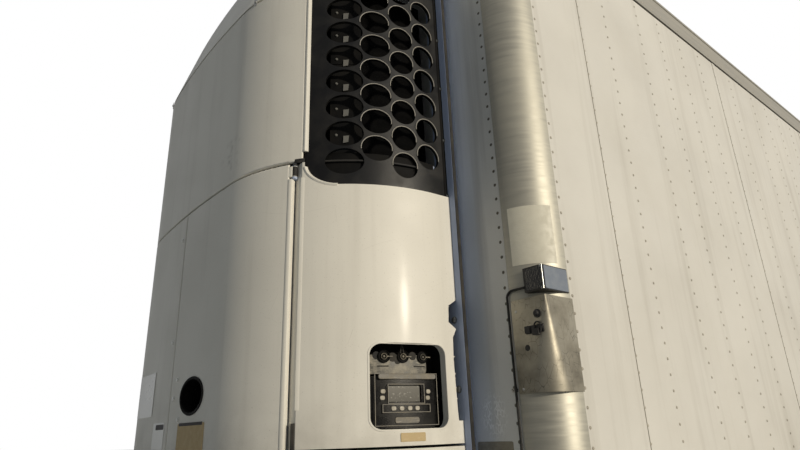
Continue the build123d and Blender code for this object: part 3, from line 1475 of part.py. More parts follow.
def condenser_coils():
    """The curved coil that shows through each grille."""
    shelf_top = MID_SEAM - SEAM_GAP / 2 + SHELF_GAP + SHELF_THICKNESS
    z = (shelf_top, GRILLE_TOP)
    coil = unit_shell(z, outer=COIL_INSET, thickness=COIL_THICKNESS)
    room = unit_region((SHELL_BACK, GRILLE_FRONT_DEPTH - COIL_FRONT_GAP), (HALF / 3, HALF), z)
    return both_sides(coil & room)


def controller_recess():
    """The tray behind the opening in the roadside panel."""
    outer = tray_block(RECESS_RIM, UNIT_SHELL + SEAT_FIT, TRAY_FLOOR + RECESS_WALL)
    return outer - tray_block(RECESS_RIM - RECESS_WALL, 0, TRAY_FLOOR)


def skin_layer(outer, inner):
    """The room between two offsets of the unit's skin, over its whole height."""
    return upward(unit_plan(outer), UNIT_TOP) - upward(unit_plan(inner, -10), UNIT_TOP)


def tray_block(grow, outer, inner):
    """A rounded block behind the roadside skin, between two offsets of it."""
    depth = (PANEL_REAR_DEPTH - grow, PANEL_FRONT_DEPTH + grow)
    shape = window(depth, (PANEL_LOW - grow, PANEL_HIGH + grow), PANEL_CORNER, -1)
    return shape & skin_layer(outer, inner)


def controller():
    """The display housing at the bottom of the recess, with its sunken screen."""
    depth = (PANEL_REAR_DEPTH + CONTROLLER_END_GAP, PANEL_FRONT_DEPTH - CONTROLLER_END_GAP)
    height = [PANEL_LOW + rise for rise in CONTROLLER_RISE]
    front = UNIT_SHELL + 8
    body = window(depth, height, CONTROLLER_CORNER, -1) & skin_layer(front, TRAY_FLOOR - SEAT_FIT)
    depth = (PANEL_REAR_DEPTH + SCREEN_ENDS[0], PANEL_FRONT_DEPTH - SCREEN_ENDS[1])
    height = [PANEL_LOW + rise for rise in SCREEN_RISE]
    return body - (window(depth, height, SCREEN_CORNER, -1) & skin_layer(0, front + SCREEN_DEPTH))


def gauge_plate():
    """The worn plate for three gauges over the display."""
    depth = (PANEL_REAR_DEPTH + GAUGE_PLATE_ENDS[0], PANEL_FRONT_DEPTH - GAUGE_PLATE_ENDS[1])
    height = [PANEL_LOW + rise for rise in GAUGE_PLATE_RISE]
    shape = window(depth, height, GAUGE_PLATE_CORNER, -1)
    return shape & skin_layer(UNIT_SHELL + GAUGE_PLATE_SET, TRAY_FLOOR - SEAT_FIT)


def engine_block():
    """The diesel engine as one plain block on the base tray."""
    return unit_region(ENGINE_DEPTH, ENGINE_WIDTH, (UNIT_LOW + TRAY_THICKNESS, UNIT_LOW + ENGINE_RISE))


# Corner fittings on the roadside post


def corner_fitting(rise, reach, corner):
    """A housing that fills out the round post. Its corner's radius changes from its foot to its top."""
    low, high = (BOTTOM_RAIL_TOP + height for height in rise)
    foot, top = corner
    body = loft([corner_outline(low, reach, foot), corner_outline(high, reach, top)], ruled=True)
    return body - upward(body_plan(-SEAT_FIT), TOP_RAIL_LOW - BOTTOM_RAIL_TOP, BOTTOM_RAIL_TOP)


def corner_outline(z, reach, corner):
    """A housing round the roadside post from above: reach along X and Y, and a rounded corner."""
    x0 = FRONT_X - CORNER_FITTING_PROUD
    y0 = -HALF - CORNER_FITTING_PROUD
    x1, y1 = FRONT_X + reach[1], reach[0] - HALF
    mid = corner * (1 - math.sqrt(0.5))
    lines = [
        Line((x0 + corner, y0, z), (x1, y0, z)),
        Line((x1, y0, z), (x1, y1, z)),
        Line((x1, y1, z), (x0, y1, z)),
        Line((x0, y1, z), (x0, y0 + corner, z)),
        ThreePointArc((x0, y0 + corner, z), (x0 + mid, y0 + mid, z), (x0 + corner, y0, z)),
    ]
    return make_face(Curve() + lines)


def corner_box():
    return corner_fitting(CORNER_BOX_RISE, CORNER_BOX_REACH, CORNER_BOX_ROUND)


def status_lamp():
    return corner_fitting(LAMP_RISE, LAMP_REACH, (2, 2))


def lamp_cable():
    """The lamp's lead, which runs in from the lamp and down the edge of the post."""
    x = FRONT_X - CABLE_RADIUS - SEAT_FIT
    y = POST_RADIUS + CABLE_INSET - HALF
    top = BOTTOM_RAIL_TOP + LAMP_RISE[0] + CABLE_START
    start = (x, LAMP_REACH[0] - HALF, top)
    route = FilletPolyline(start, (x, y, top), (x, y, CABLE_END), radius=CABLE_BEND)
    section = Plane(origin=route @ 0, z_dir=route % 0) * Circle(CABLE_RADIUS)
    return sweep(section, path=route)


def service_connectors():
    """Two air couplings and the round electric socket on the nose's bottom rail."""
    z = BOTTOM_RAIL_LOW + BOTTOM_RAIL_HEIGHT / 2
    face = FRONT_X - CONNECTOR_PLATE
    height = (z - CONNECTOR_PLATE_HALF_HEIGHT, z + CONNECTOR_PLATE_HALF_HEIGHT)
    plate = block((face, FRONT_X), CONNECTOR_PLATE_Y, height)
    plate += rod((face, 0, z), (FRONT_X - SOCKET_REACH, 0, z), SOCKET_RADIUS)
    end = FRONT_X - COUPLING_REACH
    head_z = z + COUPLING_STEM_RADIUS
    for y in COUPLING_Y:
        plate += rod((face, y, z), (end + COUPLING_THICKNESS / 2, y, z), COUPLING_STEM_RADIUS)
        plate += rod((end + COUPLING_THICKNESS, y, head_z), (end, y, head_z), COUPLING_RADIUS)
    return plate


def parts():
    """Every piece of the trailer by name."""
    made = {
        "front_wall": front_wall(),
        "corner_posts": corner_posts(),
        "bottom_rails": bottom_rails(),
        "top_rails": top_rails(),
        "roof_panel": roof_panel(),
        "floor_deck": floor_deck(),
        "cold_air_outlet": cold_air_outlet(),
        "crossmembers": crossmembers(),
        "coupler_plate": coupler_plate(),
        "landing_legs": landing_legs(),
        "landing_braces": landing_braces(),
        "slide_rails": slide_rails(),
        "bogie_frame": bogie_frame(),
        "leaf_springs": leaf_springs(),
        "axles": [axle(x) for x in AXLE_X],
        "mudflaps": mudflaps(),
        "rear_guard": rear_guard(),
        "fuel_tank": fuel_tank(),
        "air_tanks": air_tanks(),
        "rear_frame": rear_frame(),
        "dock_bumpers": dock_bumpers(),
        "lock_keepers": lock_keepers(),
        "tail_lamps": tail_lamps(),
        "marker_lamps": marker_lamps(),
        "unit_frame": unit_frame(),
        "unit_hood": unit_hood(),
        "unit_upper_front": unit_upper_front(),
        "unit_skirts": [unit_skirt(-1), unit_skirt(1)],
        "condenser_coils": condenser_coils(),
        "controller_recess": controller_recess(),
        "controller": controller(),
        "gauge_plate": gauge_plate(),
        "engine_block": engine_block(),
        "corner_box": corner_box(),
        "status_lamp": status_lamp(),
        "lamp_cable": lamp_cable(),
        "service_connectors": service_connectors(),
    }
    for name, side in SIDES:
        made[f"side_wall_{name}"] = side_wall(side)
        made[f"unit_side_panel_{name}"] = unit_side_panel(side)
        made[f"unit_grille_{name}"] = grille(side)
        made[f"unit_door_{name}"] = unit_door(side)
        made[f"rear_door_{name}"] = rear_door(side)
        made[f"door_hinges_{name}"] = door_hinges(side)
        made[f"lock_rods_{name}"] = lock_rods(side)
        for place, axle_x in zip(("front", "rear"), AXLE_X):
            made[f"wheel_{place}_{name}"] = wheel(axle_x, side)
            made[f"tyres_{place}_{name}"] = tyres(axle_x, side)
    return made


def write(name, shape):
    """Writes one piece as a STEP file."""
    solids = []
    for item in shape if isinstance(shape, list) else [shape]:
        solids += item.solids()
    whole = solids[0] if len(solids) == 1 else Compound(children=solids)
    export_step(whole, f"parts/{name}.step")



os.makedirs("parts", exist_ok=True)
for part_name, part_shape in parts().items():
    write(part_name, part_shape)
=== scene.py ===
"""Looks of a refrigerated semi-trailer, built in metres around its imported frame.

X runs from the nose to the rear doors, +Y is the kerb side, Z is up, and the floor is at z = 0.
"""
import math
import random

import bmesh
import bpy
from mathutils import Matrix, Vector


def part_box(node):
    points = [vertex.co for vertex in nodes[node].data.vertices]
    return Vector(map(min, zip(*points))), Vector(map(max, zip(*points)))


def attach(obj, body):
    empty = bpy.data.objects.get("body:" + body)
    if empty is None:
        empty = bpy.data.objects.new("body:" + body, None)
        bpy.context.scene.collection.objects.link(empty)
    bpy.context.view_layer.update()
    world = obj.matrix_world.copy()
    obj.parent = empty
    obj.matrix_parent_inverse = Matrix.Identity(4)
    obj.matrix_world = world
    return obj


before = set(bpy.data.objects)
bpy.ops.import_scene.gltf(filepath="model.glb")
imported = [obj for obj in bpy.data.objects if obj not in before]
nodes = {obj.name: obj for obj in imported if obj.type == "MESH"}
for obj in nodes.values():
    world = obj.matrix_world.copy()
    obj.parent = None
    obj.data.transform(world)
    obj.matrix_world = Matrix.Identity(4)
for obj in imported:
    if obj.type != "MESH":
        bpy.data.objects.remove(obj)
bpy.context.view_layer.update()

# Places of the box that the frame gives
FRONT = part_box("bottom_rails")[0].x
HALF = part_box("bottom_rails")[1].y
RAIL_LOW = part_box("bottom_rails")[0].z
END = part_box("rear_door_left")[1].x
WALL_FRONT, _, RAIL_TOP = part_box("side_wall_left")[0]
WALL_END, _, WALL_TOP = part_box("side_wall_left")[1]
WALL_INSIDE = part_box("side_wall_right")[0].y
WALL_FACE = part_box("side_wall_right")[1].y
WALL_SPAN = (RAIL_TOP + 0.001, WALL_TOP - 0.001)
ROOF_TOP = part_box("roof_panel")[1].z
FLOOR_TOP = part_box("floor_deck")[1].z
FRONT_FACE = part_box("front_wall")[0].x
POST_RADIUS = WALL_FRONT - FRONT
SIDES = (("left", -1), ("right", 1))
BOTH = (-1, 1)
AHEAD, BEHIND = (-1, 0, 0), (1, 0, 0)
UP, DOWN = (0, 0, 1), (0, 0, -1)

# The refrigeration unit's skin: a bowed front and big round corners
SKIN_CENTRE_Y = 0.3699
SKIN_CENTRE_DEPTH = 0.1100
SKIN_RADIUS = 0.594
BOW_RADIUS = 5.860
BOW_CENTRE = 0.717 - BOW_RADIUS
BOW_EDGE_Y = 0.4118
SIDE_TAPER = math.radians(2.8)
UNIT_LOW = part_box("unit_frame")[0].z
MID_SEAM = 2.755
HOOD_SEAM = 3.560
WINDOW_LOW, WINDOW_TOP = 2.656, 3.610
WINDOW_DEPTH = 0.568
WINDOW_CORNER = 0.085
# Each column of a grille's holes: depth, lowest centre, count, half width
HOLE_COLUMNS = (
    (0.464, 2.750, 8, 0.071),
    (0.358, 2.806, 7, 0.059),
    (0.256, 2.750, 8, 0.051),
    (0.155, 2.806, 7, 0.051),
)
HOLE_HALF_HEIGHT = 0.051
HOLE_PITCH = 0.112
# The exhaust's opening: y, z, half width, half height
EXHAUST = (-0.218, 1.976, 0.098, 0.064)

# Fasteners and sheets
RIVET_RADIUS = 0.0058
RIVET_HEIGHT = 0.0024
RIVET_PITCH = 0.060
WALL_SEAM_START = FRONT + 0.506
WALL_SEAM_PITCH = 1.524
WALL_RIVET_STEPS = (0, 0.232, 0.584, 0.821, 1.062, 1.31)
LAP_WIDTH = 0.038
LAP_THICKNESS = 0.0014
WALL_SEAMS = [
    WALL_SEAM_START + i * WALL_SEAM_PITCH
    for i in range(int((WALL_END - 0.05 - WALL_SEAM_START) / WALL_SEAM_PITCH) + 1)
]
WALL_COLUMNS = [FRONT + 0.159]
WALL_COLUMNS += [x + step for x in WALL_SEAMS for step in WALL_RIVET_STEPS if x + step < WALL_END - 0.02]


def srgb(red, green, blue):
    """A colour given as it looks on screen, from 0 to 255."""
    values = [value / 255 for value in (red, green, blue)]
    return tuple(v / 12.92 if v < 0.04045 else ((v + 0.055) / 1.055) ** 2.4 for v in values) + (1,)


# Materials


def add_node(tree, kind, inputs, output=0, **settings):
    """Adds a shader node, links its inputs or sets their values, and gives one of its outputs."""
    node = tree.nodes.new("ShaderNode" + kind)
    for name, value in settings.items():
        setattr(node, name, value)
    for name, value in inputs.items():
        if isinstance(value, bpy.types.NodeSocket):
            tree.links.new(value, node.inputs[name])
        else:
            node.inputs[name].default_value = value
    return node.outputs[output]


class Finish:
    """A procedural material: a Principled shader and the textures that feed it."""

    def __init__(self, colour, roughness=0.5, metallic=0.0, coat=0.0, specular=0.5):
        self.material = bpy.data.materials.new("finish")
        self.material.use_nodes = True
        self.tree = self.material.node_tree
        self.shader = self.tree.nodes["Principled BSDF"]
        self.place = self.node("TexCoord", {}, "Object")
        self.normal = None
        settings = (
            ("Base Color", colour),
            ("Roughness", roughness),
            ("Metallic", metallic),
            ("Coat Weight", coat),
            ("Coat Roughness", 0.16),
            ("Specular IOR Level", specular),
        )
        for socket, value in settings:
            self.shader.inputs[socket].default_value = value

    def node(self, kind, inputs, output=0, **settings):
        return add_node(self.tree, kind, inputs, output, **settings)

    def spread(self, stretch):
        """The place on the object, stretched for a texture."""
        return self.node("Mapping", {"Vector": self.place, "Scale": stretch}, "Vector")

    def noise(self, scale, detail=3.0, stretch=(1, 1, 1)):
        inputs = {"Vector": self.spread(stretch), "Scale": scale, "Detail": detail, "Roughness": 0.55}
        return self.node("TexNoise", inputs, "Fac")

    def cells(self, scale, stretch=(1, 1, 1), output="Distance", feature="F1"):
        inputs = {"Vector": self.spread(stretch), "Scale": scale}
        return self.node("TexVoronoi", inputs, output, feature=feature)

    def waves(self, scale, direction="X", distortion=0.0):
        inputs = {"Vector": self.spread((1, 1, 1)), "Scale": scale, "Distortion": distortion}
        return self.node("TexWave", inputs, "Fac", bands_direction=direction)

    def axis(self, name):
        """One coordinate of the place on the object."""
        return self.node("SeparateXYZ", {0: self.place}, name)

    def level(self, value, low, high, out_low=0.0, out_high=1.0):
        return self.node("MapRange", {"Value": value, 1: low, 2: high, 3: out_low, 4: out_high}, "Result")

    def maths(self, operation, first, second=0.0):
        return self.node("Math", {0: first, 1: second}, operation=operation)

    def times(self, first, second):
        return self.maths("MULTIPLY", first, second)

    def mix(self, factor, first, second):
        return self.node("Mix", {0: factor, 6: first, 7: second}, 2, data_type="RGBA")

    def near(self, centre, reach, edge=0.6):
        """1 inside a soft ellipsoid about a place, 0 outside it."""
        inputs = {"Vector": self.place, "Location": centre, "Scale": reach}
        place = self.node("Mapping", inputs, "Vector", vector_type="TEXTURE")
        length = self.node("VectorMath", {0: place}, "Value", operation="LENGTH")
        return self.level(length, edge, 1.0, 1.0, 0.0)

    def colour(self, value):
        self.base = value
        self.tree.links.new(value, self.shader.inputs["Base Color"])

    def roughness(self, value):
        self.tree.links.new(value, self.shader.inputs["Roughness"])

    def bump(self, height, distance, strength=1.0):
        """Adds relief on top of the relief that is there already."""
        inputs = {"Strength": strength, "Distance": distance, "Height": height}
        if self.normal:
            inputs["Normal"] = self.normal
        self.normal = self.node("Bump", inputs, "Normal")
        self.tree.links.new(self.normal, self.shader.inputs["Normal"])


def painted(colour, dirt, roughness=0.3, coat=0.35, streaks=0.3, film=0.22, wave=0.0004):
    """Glossy paint with rain streaks, a thin film of road dust and faint waviness."""
    paint = Finish(colour, roughness, coat=coat)
    rain = paint.level(paint.noise(11, 4, (1, 1, 0.045)), 0.53, 0.80)
    patches = paint.level(paint.noise(1.6, 5), 0.40, 0.78)
    specks = paint.level(paint.noise(240, 1), 0.70, 0.76)
    dust = paint.maths("ADD", paint.times(rain, streaks), paint.times(patches, film))
    dust = paint.maths("ADD", dust, paint.times(specks, 0.25))
    paint.colour(paint.mix(dust, colour, dirt))
    paint.roughness(paint.level(paint.noise(5, 5), 0.3, 0.8, roughness - 0.05, roughness + 0.16))
    paint.bump(paint.noise(2.4, 2), wave * 12, 0.5)
    paint.bump(paint.noise(420, 1), wave, 0.15)
    return paint


def side_skin():
    """White prefinished sheet that pulls in slightly along its rivet lines."""
    paint = painted(srgb(232, 230, 224), srgb(150, 142, 126), roughness=0.5, coat=0.06, wave=0.0003)
    paint.bump(paint.waves(0.66, "X", 0.6), 0.004, 0.35)
    paint.bump(paint.noise(1.3, 1, (2.2, 1, 0.25)), 0.012, 0.35)
    return paint


def front_skin():
    """The front wall's sheet, with pale crazed scrapes beside the unit."""
    paint = painted(srgb(222, 222, 218), srgb(118, 112, 104), roughness=0.45, coat=0.05, streaks=0.45)
    cracks = paint.level(paint.cells(105, (1, 1, 0.45), feature="DISTANCE_TO_EDGE"), 0.0, 0.16, 1.0, 0.0)
    broken = paint.times(cracks, paint.level(paint.noise(46, 4), 0.40, 0.50))
    scrape = paint.times(paint.near((FRONT_FACE, -1.035, 1.868), (0.2, 0.066, 0.085), 0.5), broken)
    paint.colour(paint.mix(scrape, paint.base, srgb(255, 255, 253)))
    paint.bump(scrape, 0.0006, 0.5)
    return paint


def shell_white():
    """The unit's moulded shell: glossy white with a grimy foot and fine scratches."""
    paint = painted(
        srgb(240, 237, 228), srgb(128, 120, 108), roughness=0.48, coat=0.06, streaks=0.18, film=0.14
    )
    grime = paint.level(paint.noise(7, 5), 0.35, 0.7)
    foot = paint.times(paint.level(paint.axis("Z"), 1.66, 1.98, 1.0, 0.0), grime)
    rubbed = paint.level(paint.noise(24, 5), 0.50, 0.72)
    scuff = paint.times(paint.near((FRONT - 0.70, -0.40, 2.875), (0.2, 0.10, 0.11), 0.3), rubbed)
    scratch = paint.cells(9, (0.25, 0.25, 1.6), feature="DISTANCE_TO_EDGE")
    scratch = paint.level(scratch, 0.0, 0.0016, 1.0, 0.0)
    marks = paint.maths("MAXIMUM", paint.times(foot, 0.5), paint.times(scuff, 0.4))
    marks = paint.maths("MAXIMUM", marks, paint.times(scratch, 0.12))
    paint.colour(paint.mix(marks, paint.base, srgb(120, 112, 100)))
    return paint


def brushed(colour, stretch, roughness=0.34, lines=90, oxide=0.45, metallic=1.0):
    """Mill-finished metal: fine lines along it, and dull oxide in patches."""
    metal = Finish(colour, roughness, metallic=metallic)
    fine = metal.noise(lines, 5, stretch)
    dull = metal.level(metal.noise(3.2, 6), 0.42, 0.70)
    spots = metal.level(metal.noise(70, 3), 0.60, 0.74)
    dark, film = (tuple(share * v for v in colour[:3]) + (1,) for share in (0.55, 0.8))
    amount = metal.maths("ADD", metal.times(dull, oxide), metal.times(spots, 0.2))
    metal.colour(metal.mix(amount, metal.mix(fine, dark, colour), film))
    grain = metal.level(fine, 0.3, 0.7, roughness, roughness + 0.14)
    metal.roughness(metal.maths("ADD", grain, metal.times(dull, 0.12)))
    metal.bump(fine, 0.0006, 0.25)
    return metal


def engraved_sheet():
    """Thin aluminium sheet, dull on its face and scribbled over with fine scratches."""
    sheet = Finish(srgb(150, 146, 134), 0.45, metallic=0.7)
    dull = sheet.level(sheet.noise(7, 6), 0.38, 0.66)
    lines = sheet.level(sheet.cells(46, (1, 1, 0.55), feature="DISTANCE_TO_EDGE"), 0.0, 0.028, 1.0, 0.0)
    broken = sheet.times(lines, sheet.level(sheet.noise(19, 3), 0.46, 0.54))
    grain = sheet.noise(120, 4, (0.05, 0.05, 1))
    tone = sheet.mix(dull, srgb(176, 170, 154), srgb(112, 108, 98))
    tone = sheet.mix(sheet.times(grain, 0.3), tone, srgb(196, 190, 174))
    sheet.colour(sheet.mix(sheet.times(broken, 0.7), tone, srgb(62, 60, 56)))
    sheet.roughness(sheet.level(dull, 0, 1, 0.38, 0.6))
    sheet.bump(sheet.noise(5, 2), 0.006, 0.3)
    sheet.bump(grain, 0.0004, 0.3)
    return sheet


def galvanised():
    """Zinc with its crystal pattern and dull white patches."""
    metal = Finish(srgb(160, 163, 164), 0.45, metallic=0.85)
    tone = metal.mix(metal.cells(95, output="Color"), srgb(132, 136, 139), srgb(186, 188, 188))
    patches = metal.level(metal.noise(9, 6), 0.5, 0.72)
    metal.colour(metal.mix(metal.times(patches, 0.55), tone, srgb(176, 172, 162)))
    metal.roughness(metal.level(metal.noise(40, 3), 0.3, 0.7, 0.36, 0.6))
    metal.bump(metal.noise(180, 3), 0.0005, 0.3)
    return metal


def chassis_paint(colour, dust=0.5, rust=0.25, roughness=0.5):
    """Satin chassis paint under road dust, with rust where stones have chipped it."""
    paint = Finish(colour, roughness)
    film = paint.level(paint.noise(6, 6), 0.38, 0.72)
    chips = paint.level(paint.noise(85, 4), 0.66, 0.71)
    tone = paint.mix(paint.times(film, dust), colour, srgb(124, 116, 102))
    paint.colour(paint.mix(paint.times(chips, rust), tone, srgb(116, 66, 38)))
    paint.roughness(paint.level(film, 0, 1, roughness, 0.85))
    paint.bump(paint.noise(150, 4), 0.0008, 0.35)
    return paint


def cast_metal(colour, roughness=0.6, oil=0.4):
    """Rough castings with oily dark patches."""
    metal = Finish(colour, roughness, metallic=0.55)
    patches = metal.level(metal.noise(14, 6), 0.45, 0.7)
    metal.colour(metal.mix(metal.times(patches, oil), colour, srgb(34, 31, 28)))
    metal.roughness(metal.level(patches, 0, 1, roughness, 0.32))
    metal.bump(metal.noise(260, 4), 0.0012, 0.5)
    return metal


def moulded(colour, roughness=0.55, grain=700, relief=0.0004, dust=0.25, specular=0.5):
    """Moulded plastic or rubber with a fine grain and dust on it."""
    plastic = Finish(colour, roughness, specular=specular)
    film = plastic.level(plastic.noise(13, 6), 0.42, 0.78)
    plastic.colour(plastic.mix(plastic.times(film, dust), colour, srgb(140, 134, 122)))
    plastic.roughness(plastic.level(film, 0, 1, roughness, min(roughness + 0.25, 0.95)))
    plastic.bump(plastic.noise(grain, 2), relief, 0.6)
    return plastic


def coil_fins_painted_shade():
    """Thin upright fins packed between the coil's tubes, coloured near-black as painted shade inside the
    unit, with patches of dust.
    """
    fins = Finish(srgb(8, 8, 9), 0.8, specular=0.1)
    comb = fins.waves(160, "Z", 0.4)
    dents = fins.level(fins.noise(30, 4), 0.55, 0.7)
    tone = fins.mix(comb, srgb(3, 3, 4), srgb(15, 15, 16))
    fins.colour(fins.mix(fins.times(dents, 0.5), tone, srgb(22, 20, 18)))
    fins.bump(comb, 0.002, 0.7)
    fins.bump(fins.waves(7.2, "Z"), 0.006, 0.5)
    return fins


def tyre_rubber():
    """Grey-black rubber under road dust."""
    rubber = Finish(srgb(38, 38, 39), 0.78)
    film = rubber.level(rubber.noise(7, 6), 0.4, 0.75)
    rubber.colour(rubber.mix(rubber.times(film, 0.35), srgb(36, 36, 37), srgb(112, 104, 92)))
    rubber.roughness(rubber.level(film, 0, 1, 0.62, 0.92))
    rubber.bump(rubber.noise(500, 3), 0.0006, 0.5)
    return rubber


def lens(colour, deep):
    """Clear coloured plastic over a grid of small prisms."""
    plastic = Finish(colour, 0.12, coat=1.0)
    prisms = plastic.cells(160)
    plastic.colour(plastic.mix(plastic.level(prisms, 0.0, 0.6), colour, deep))
    plastic.bump(prisms, 0.002, 0.6)
    return plastic


def worn_plate(colour, worn, roughness=0.45, metallic=0.0, amount=0.5):
    """A small plate whose face is scratched and rubbed."""
    plate = Finish(colour, roughness, metallic=metallic)
    rubbed = plate.level(plate.noise(38, 6), 0.42, 0.64)
    lines = plate.level(plate.noise(210, 2, (0.15, 0.15, 1.4)), 0.56, 0.66)
    marks = plate.maths("MAXIMUM", plate.times(rubbed, amount), plate.times(lines, amount * 0.7))
    plate.colour(plate.mix(marks, colour, worn))
    plate.roughness(plate.level(rubbed, 0, 1, roughness, roughness + 0.2))
    plate.bump(lines, 0.0003, 0.4)
    return plate


def tape_pattern(way="X"):
    """Reflective marking tape: red and white lengths with a honeycomb of cells."""
    tape = Finish(srgb(200, 30, 28), 0.3, coat=0.4)
    along = tape.maths("FRACT", tape.maths("DIVIDE", tape.axis(way), 0.4572))
    red = tape.maths("GREATER_THAN", along, 0.3889)
    cells = tape.level(tape.cells(130, feature="DISTANCE_TO_EDGE"), 0.0, 0.08)
    tone = tape.mix(red, srgb(214, 214, 208), srgb(178, 26, 24))
    dirt = tape.level(tape.noise(9, 5), 0.45, 0.75)
    tone = tape.mix(tape.times(dirt, 0.3), tone, srgb(120, 112, 100))
    tape.colour(tape.mix(cells, tape.mix(0.35, tone, srgb(90, 80, 76)), tone))
    tape.bump(cells, 0.0004, 0.4)
    return tape


def clear_glass(colour, dust):
    """Glass over something dark, with a few dust specks."""
    glass = Finish(colour, 0.08, coat=0.5)
    specks = glass.level(glass.noise(150, 3), 0.62, 0.72)
    glass.colour(glass.mix(glass.times(specks, 0.3), colour, dust))
    glass.roughness(glass.level(specks, 0, 1, 0.12, 0.5))
    return glass


EVEN = (1, 1, 1)
LOOKS = {
    "side_skin": side_skin(),
    "front_skin": front_skin(),
    # Rivet heads darker than the sheet: road dirt, and painted shade of the small shadows round them.
    "rivets_dirt_and_painted_shade": painted(srgb(196, 190, 176), srgb(120, 112, 98), film=0.5),
    "shell_white": shell_white(),
    "door_white": painted(srgb(228, 227, 222), srgb(140, 132, 118)),
    "roof_white": painted(srgb(214, 215, 214), srgb(140, 134, 122), roughness=0.42, film=0.3),
    # Clean white, kept very pale as a painted sheen for glints and reflections on bolts and plates.
    "clean_white_painted_sheen": painted(srgb(250, 249, 244), srgb(206, 202, 192), streaks=0.1, film=0.1),
    "aluminium_post": brushed(srgb(206, 203, 190), (0.06, 0.06, 1), roughness=0.42, metallic=0.7),
    "aluminium_long": brushed(srgb(190, 187, 178), (0.02, 1, 1), roughness=0.5, oxide=0.7, metallic=0.6),
    "aluminium_plate": brushed(srgb(206, 203, 196), (0.3, 0.3, 0.3), roughness=0.4),
    "box_sheet": engraved_sheet(),
    "dull_rivets": brushed(srgb(120, 116, 106), EVEN, roughness=0.5, metallic=0.6),
    "stainless": brushed(srgb(196, 196, 194), (1, 0.03, 1), roughness=0.26, lines=140, oxide=0.2),
    "bright_metal": brushed(srgb(222, 222, 218), EVEN, roughness=0.2, lines=200, oxide=0.15),
    "floor_metal": brushed(srgb(168, 168, 164), (0.05, 1, 1), roughness=0.45, oxide=0.6),
    "galvanised": galvanised(),
    "chassis_black": chassis_paint(srgb(40, 40, 42)),
    "under_metal": chassis_paint(srgb(120, 120, 118), dust=0.6, rust=0.3, roughness=0.45),
    # The unit frame's blue-grey is painted shade, lit blue by the sky, on a pale frame.
    "unit_frame_painted_sky_shade": chassis_paint(srgb(184, 198, 226), dust=0.1, rust=0.03, roughness=0.4),
    # The flange edging's blue-grey is painted shade, lit blue by the sky.
    "frame_edge_painted_sky_shade": chassis_paint(srgb(164, 178, 208), dust=0.1, rust=0.03, roughness=0.55),
    "wheel_white": chassis_paint(srgb(206, 205, 198), dust=0.55, rust=0.3, roughness=0.4),
    "black_plastic": moulded(srgb(34, 34, 36), 0.5),
    "grille_black": moulded(srgb(15, 15, 16), 0.34, dust=0.04, specular=0.35),
    # The pale grey of the grille's hole rims is a painted highlight.
    "rim_painted_highlight": moulded(srgb(176, 172, 164), 0.3, dust=0.3),
    "tab_grey": moulded(srgb(104, 104, 101), 0.45, dust=0.2),
    "black_rubber": moulded(srgb(24, 24, 25), 0.7, grain=500, relief=0.0006),
    "flap_rubber": moulded(srgb(32, 32, 33), 0.75, grain=300, relief=0.001, dust=0.45),
    "tray_plastic": moulded(srgb(10, 10, 11), 0.6, dust=0.04, specular=0.12),
    "housing_grey": moulded(srgb(18, 18, 18), 0.24, dust=0.05, specular=0.15),
    # The coil's near-black is painted shade inside the unit.
    "coil_fins_painted_shade": coil_fins_painted_shade(),
    "engine_green": cast_metal(srgb(58, 62, 60)),
    "cast_iron": cast_metal(srgb(72, 68, 64)),
    "kingpin_steel": cast_metal(srgb(96, 94, 92), 0.38, 0.7),
    "tyre_rubber": tyre_rubber(),
    "red_lens": lens(srgb(176, 18, 16), srgb(84, 6, 6)),
    "amber_lens": lens(srgb(226, 120, 20), srgb(138, 58, 6)),
    "dark_lens": lens(srgb(26, 26, 28), srgb(8, 8, 9)),
    "grey_plate": worn_plate(srgb(84, 82, 76), srgb(176, 170, 156), amount=0.8),
    "outline_grey": worn_plate(srgb(88, 84, 76), srgb(158, 150, 134), amount=0.7),
    # The dark line beside each wall lap: sealant, and a painted shadow of the lap's edge.
    "seam_sealant_and_painted_shadow": worn_plate(srgb(118, 112, 100), srgb(160, 152, 136), amount=0.6),
    "sticker_white": worn_plate(srgb(226, 222, 206), srgb(206, 201, 184), amount=0.3),
    "tan_label": worn_plate(srgb(188, 162, 112), srgb(214, 196, 156)),
    "grey_label": worn_plate(srgb(150, 142, 124), srgb(112, 106, 94)),
    "white_label": worn_plate(srgb(222, 220, 212), srgb(164, 158, 146), amount=0.35),
    # The status lamp's side plate is blue-grey as a painted reflection of the sky.
    "plate_painted_sky_reflection": worn_plate(srgb(126, 135, 150), srgb(150, 157, 168), 0.5, 0.1),
    "key_beige": worn_plate(srgb(190, 184, 170), srgb(132, 126, 114), amount=0.4),
    "tape": tape_pattern(),
    "rear_tape": tape_pattern("Y"),
    "display_glass": clear_glass(srgb(74, 70, 56), srgb(120, 114, 96)),
    "oil_glass": clear_glass(srgb(150, 110, 60), srgb(170, 150, 120)),
}

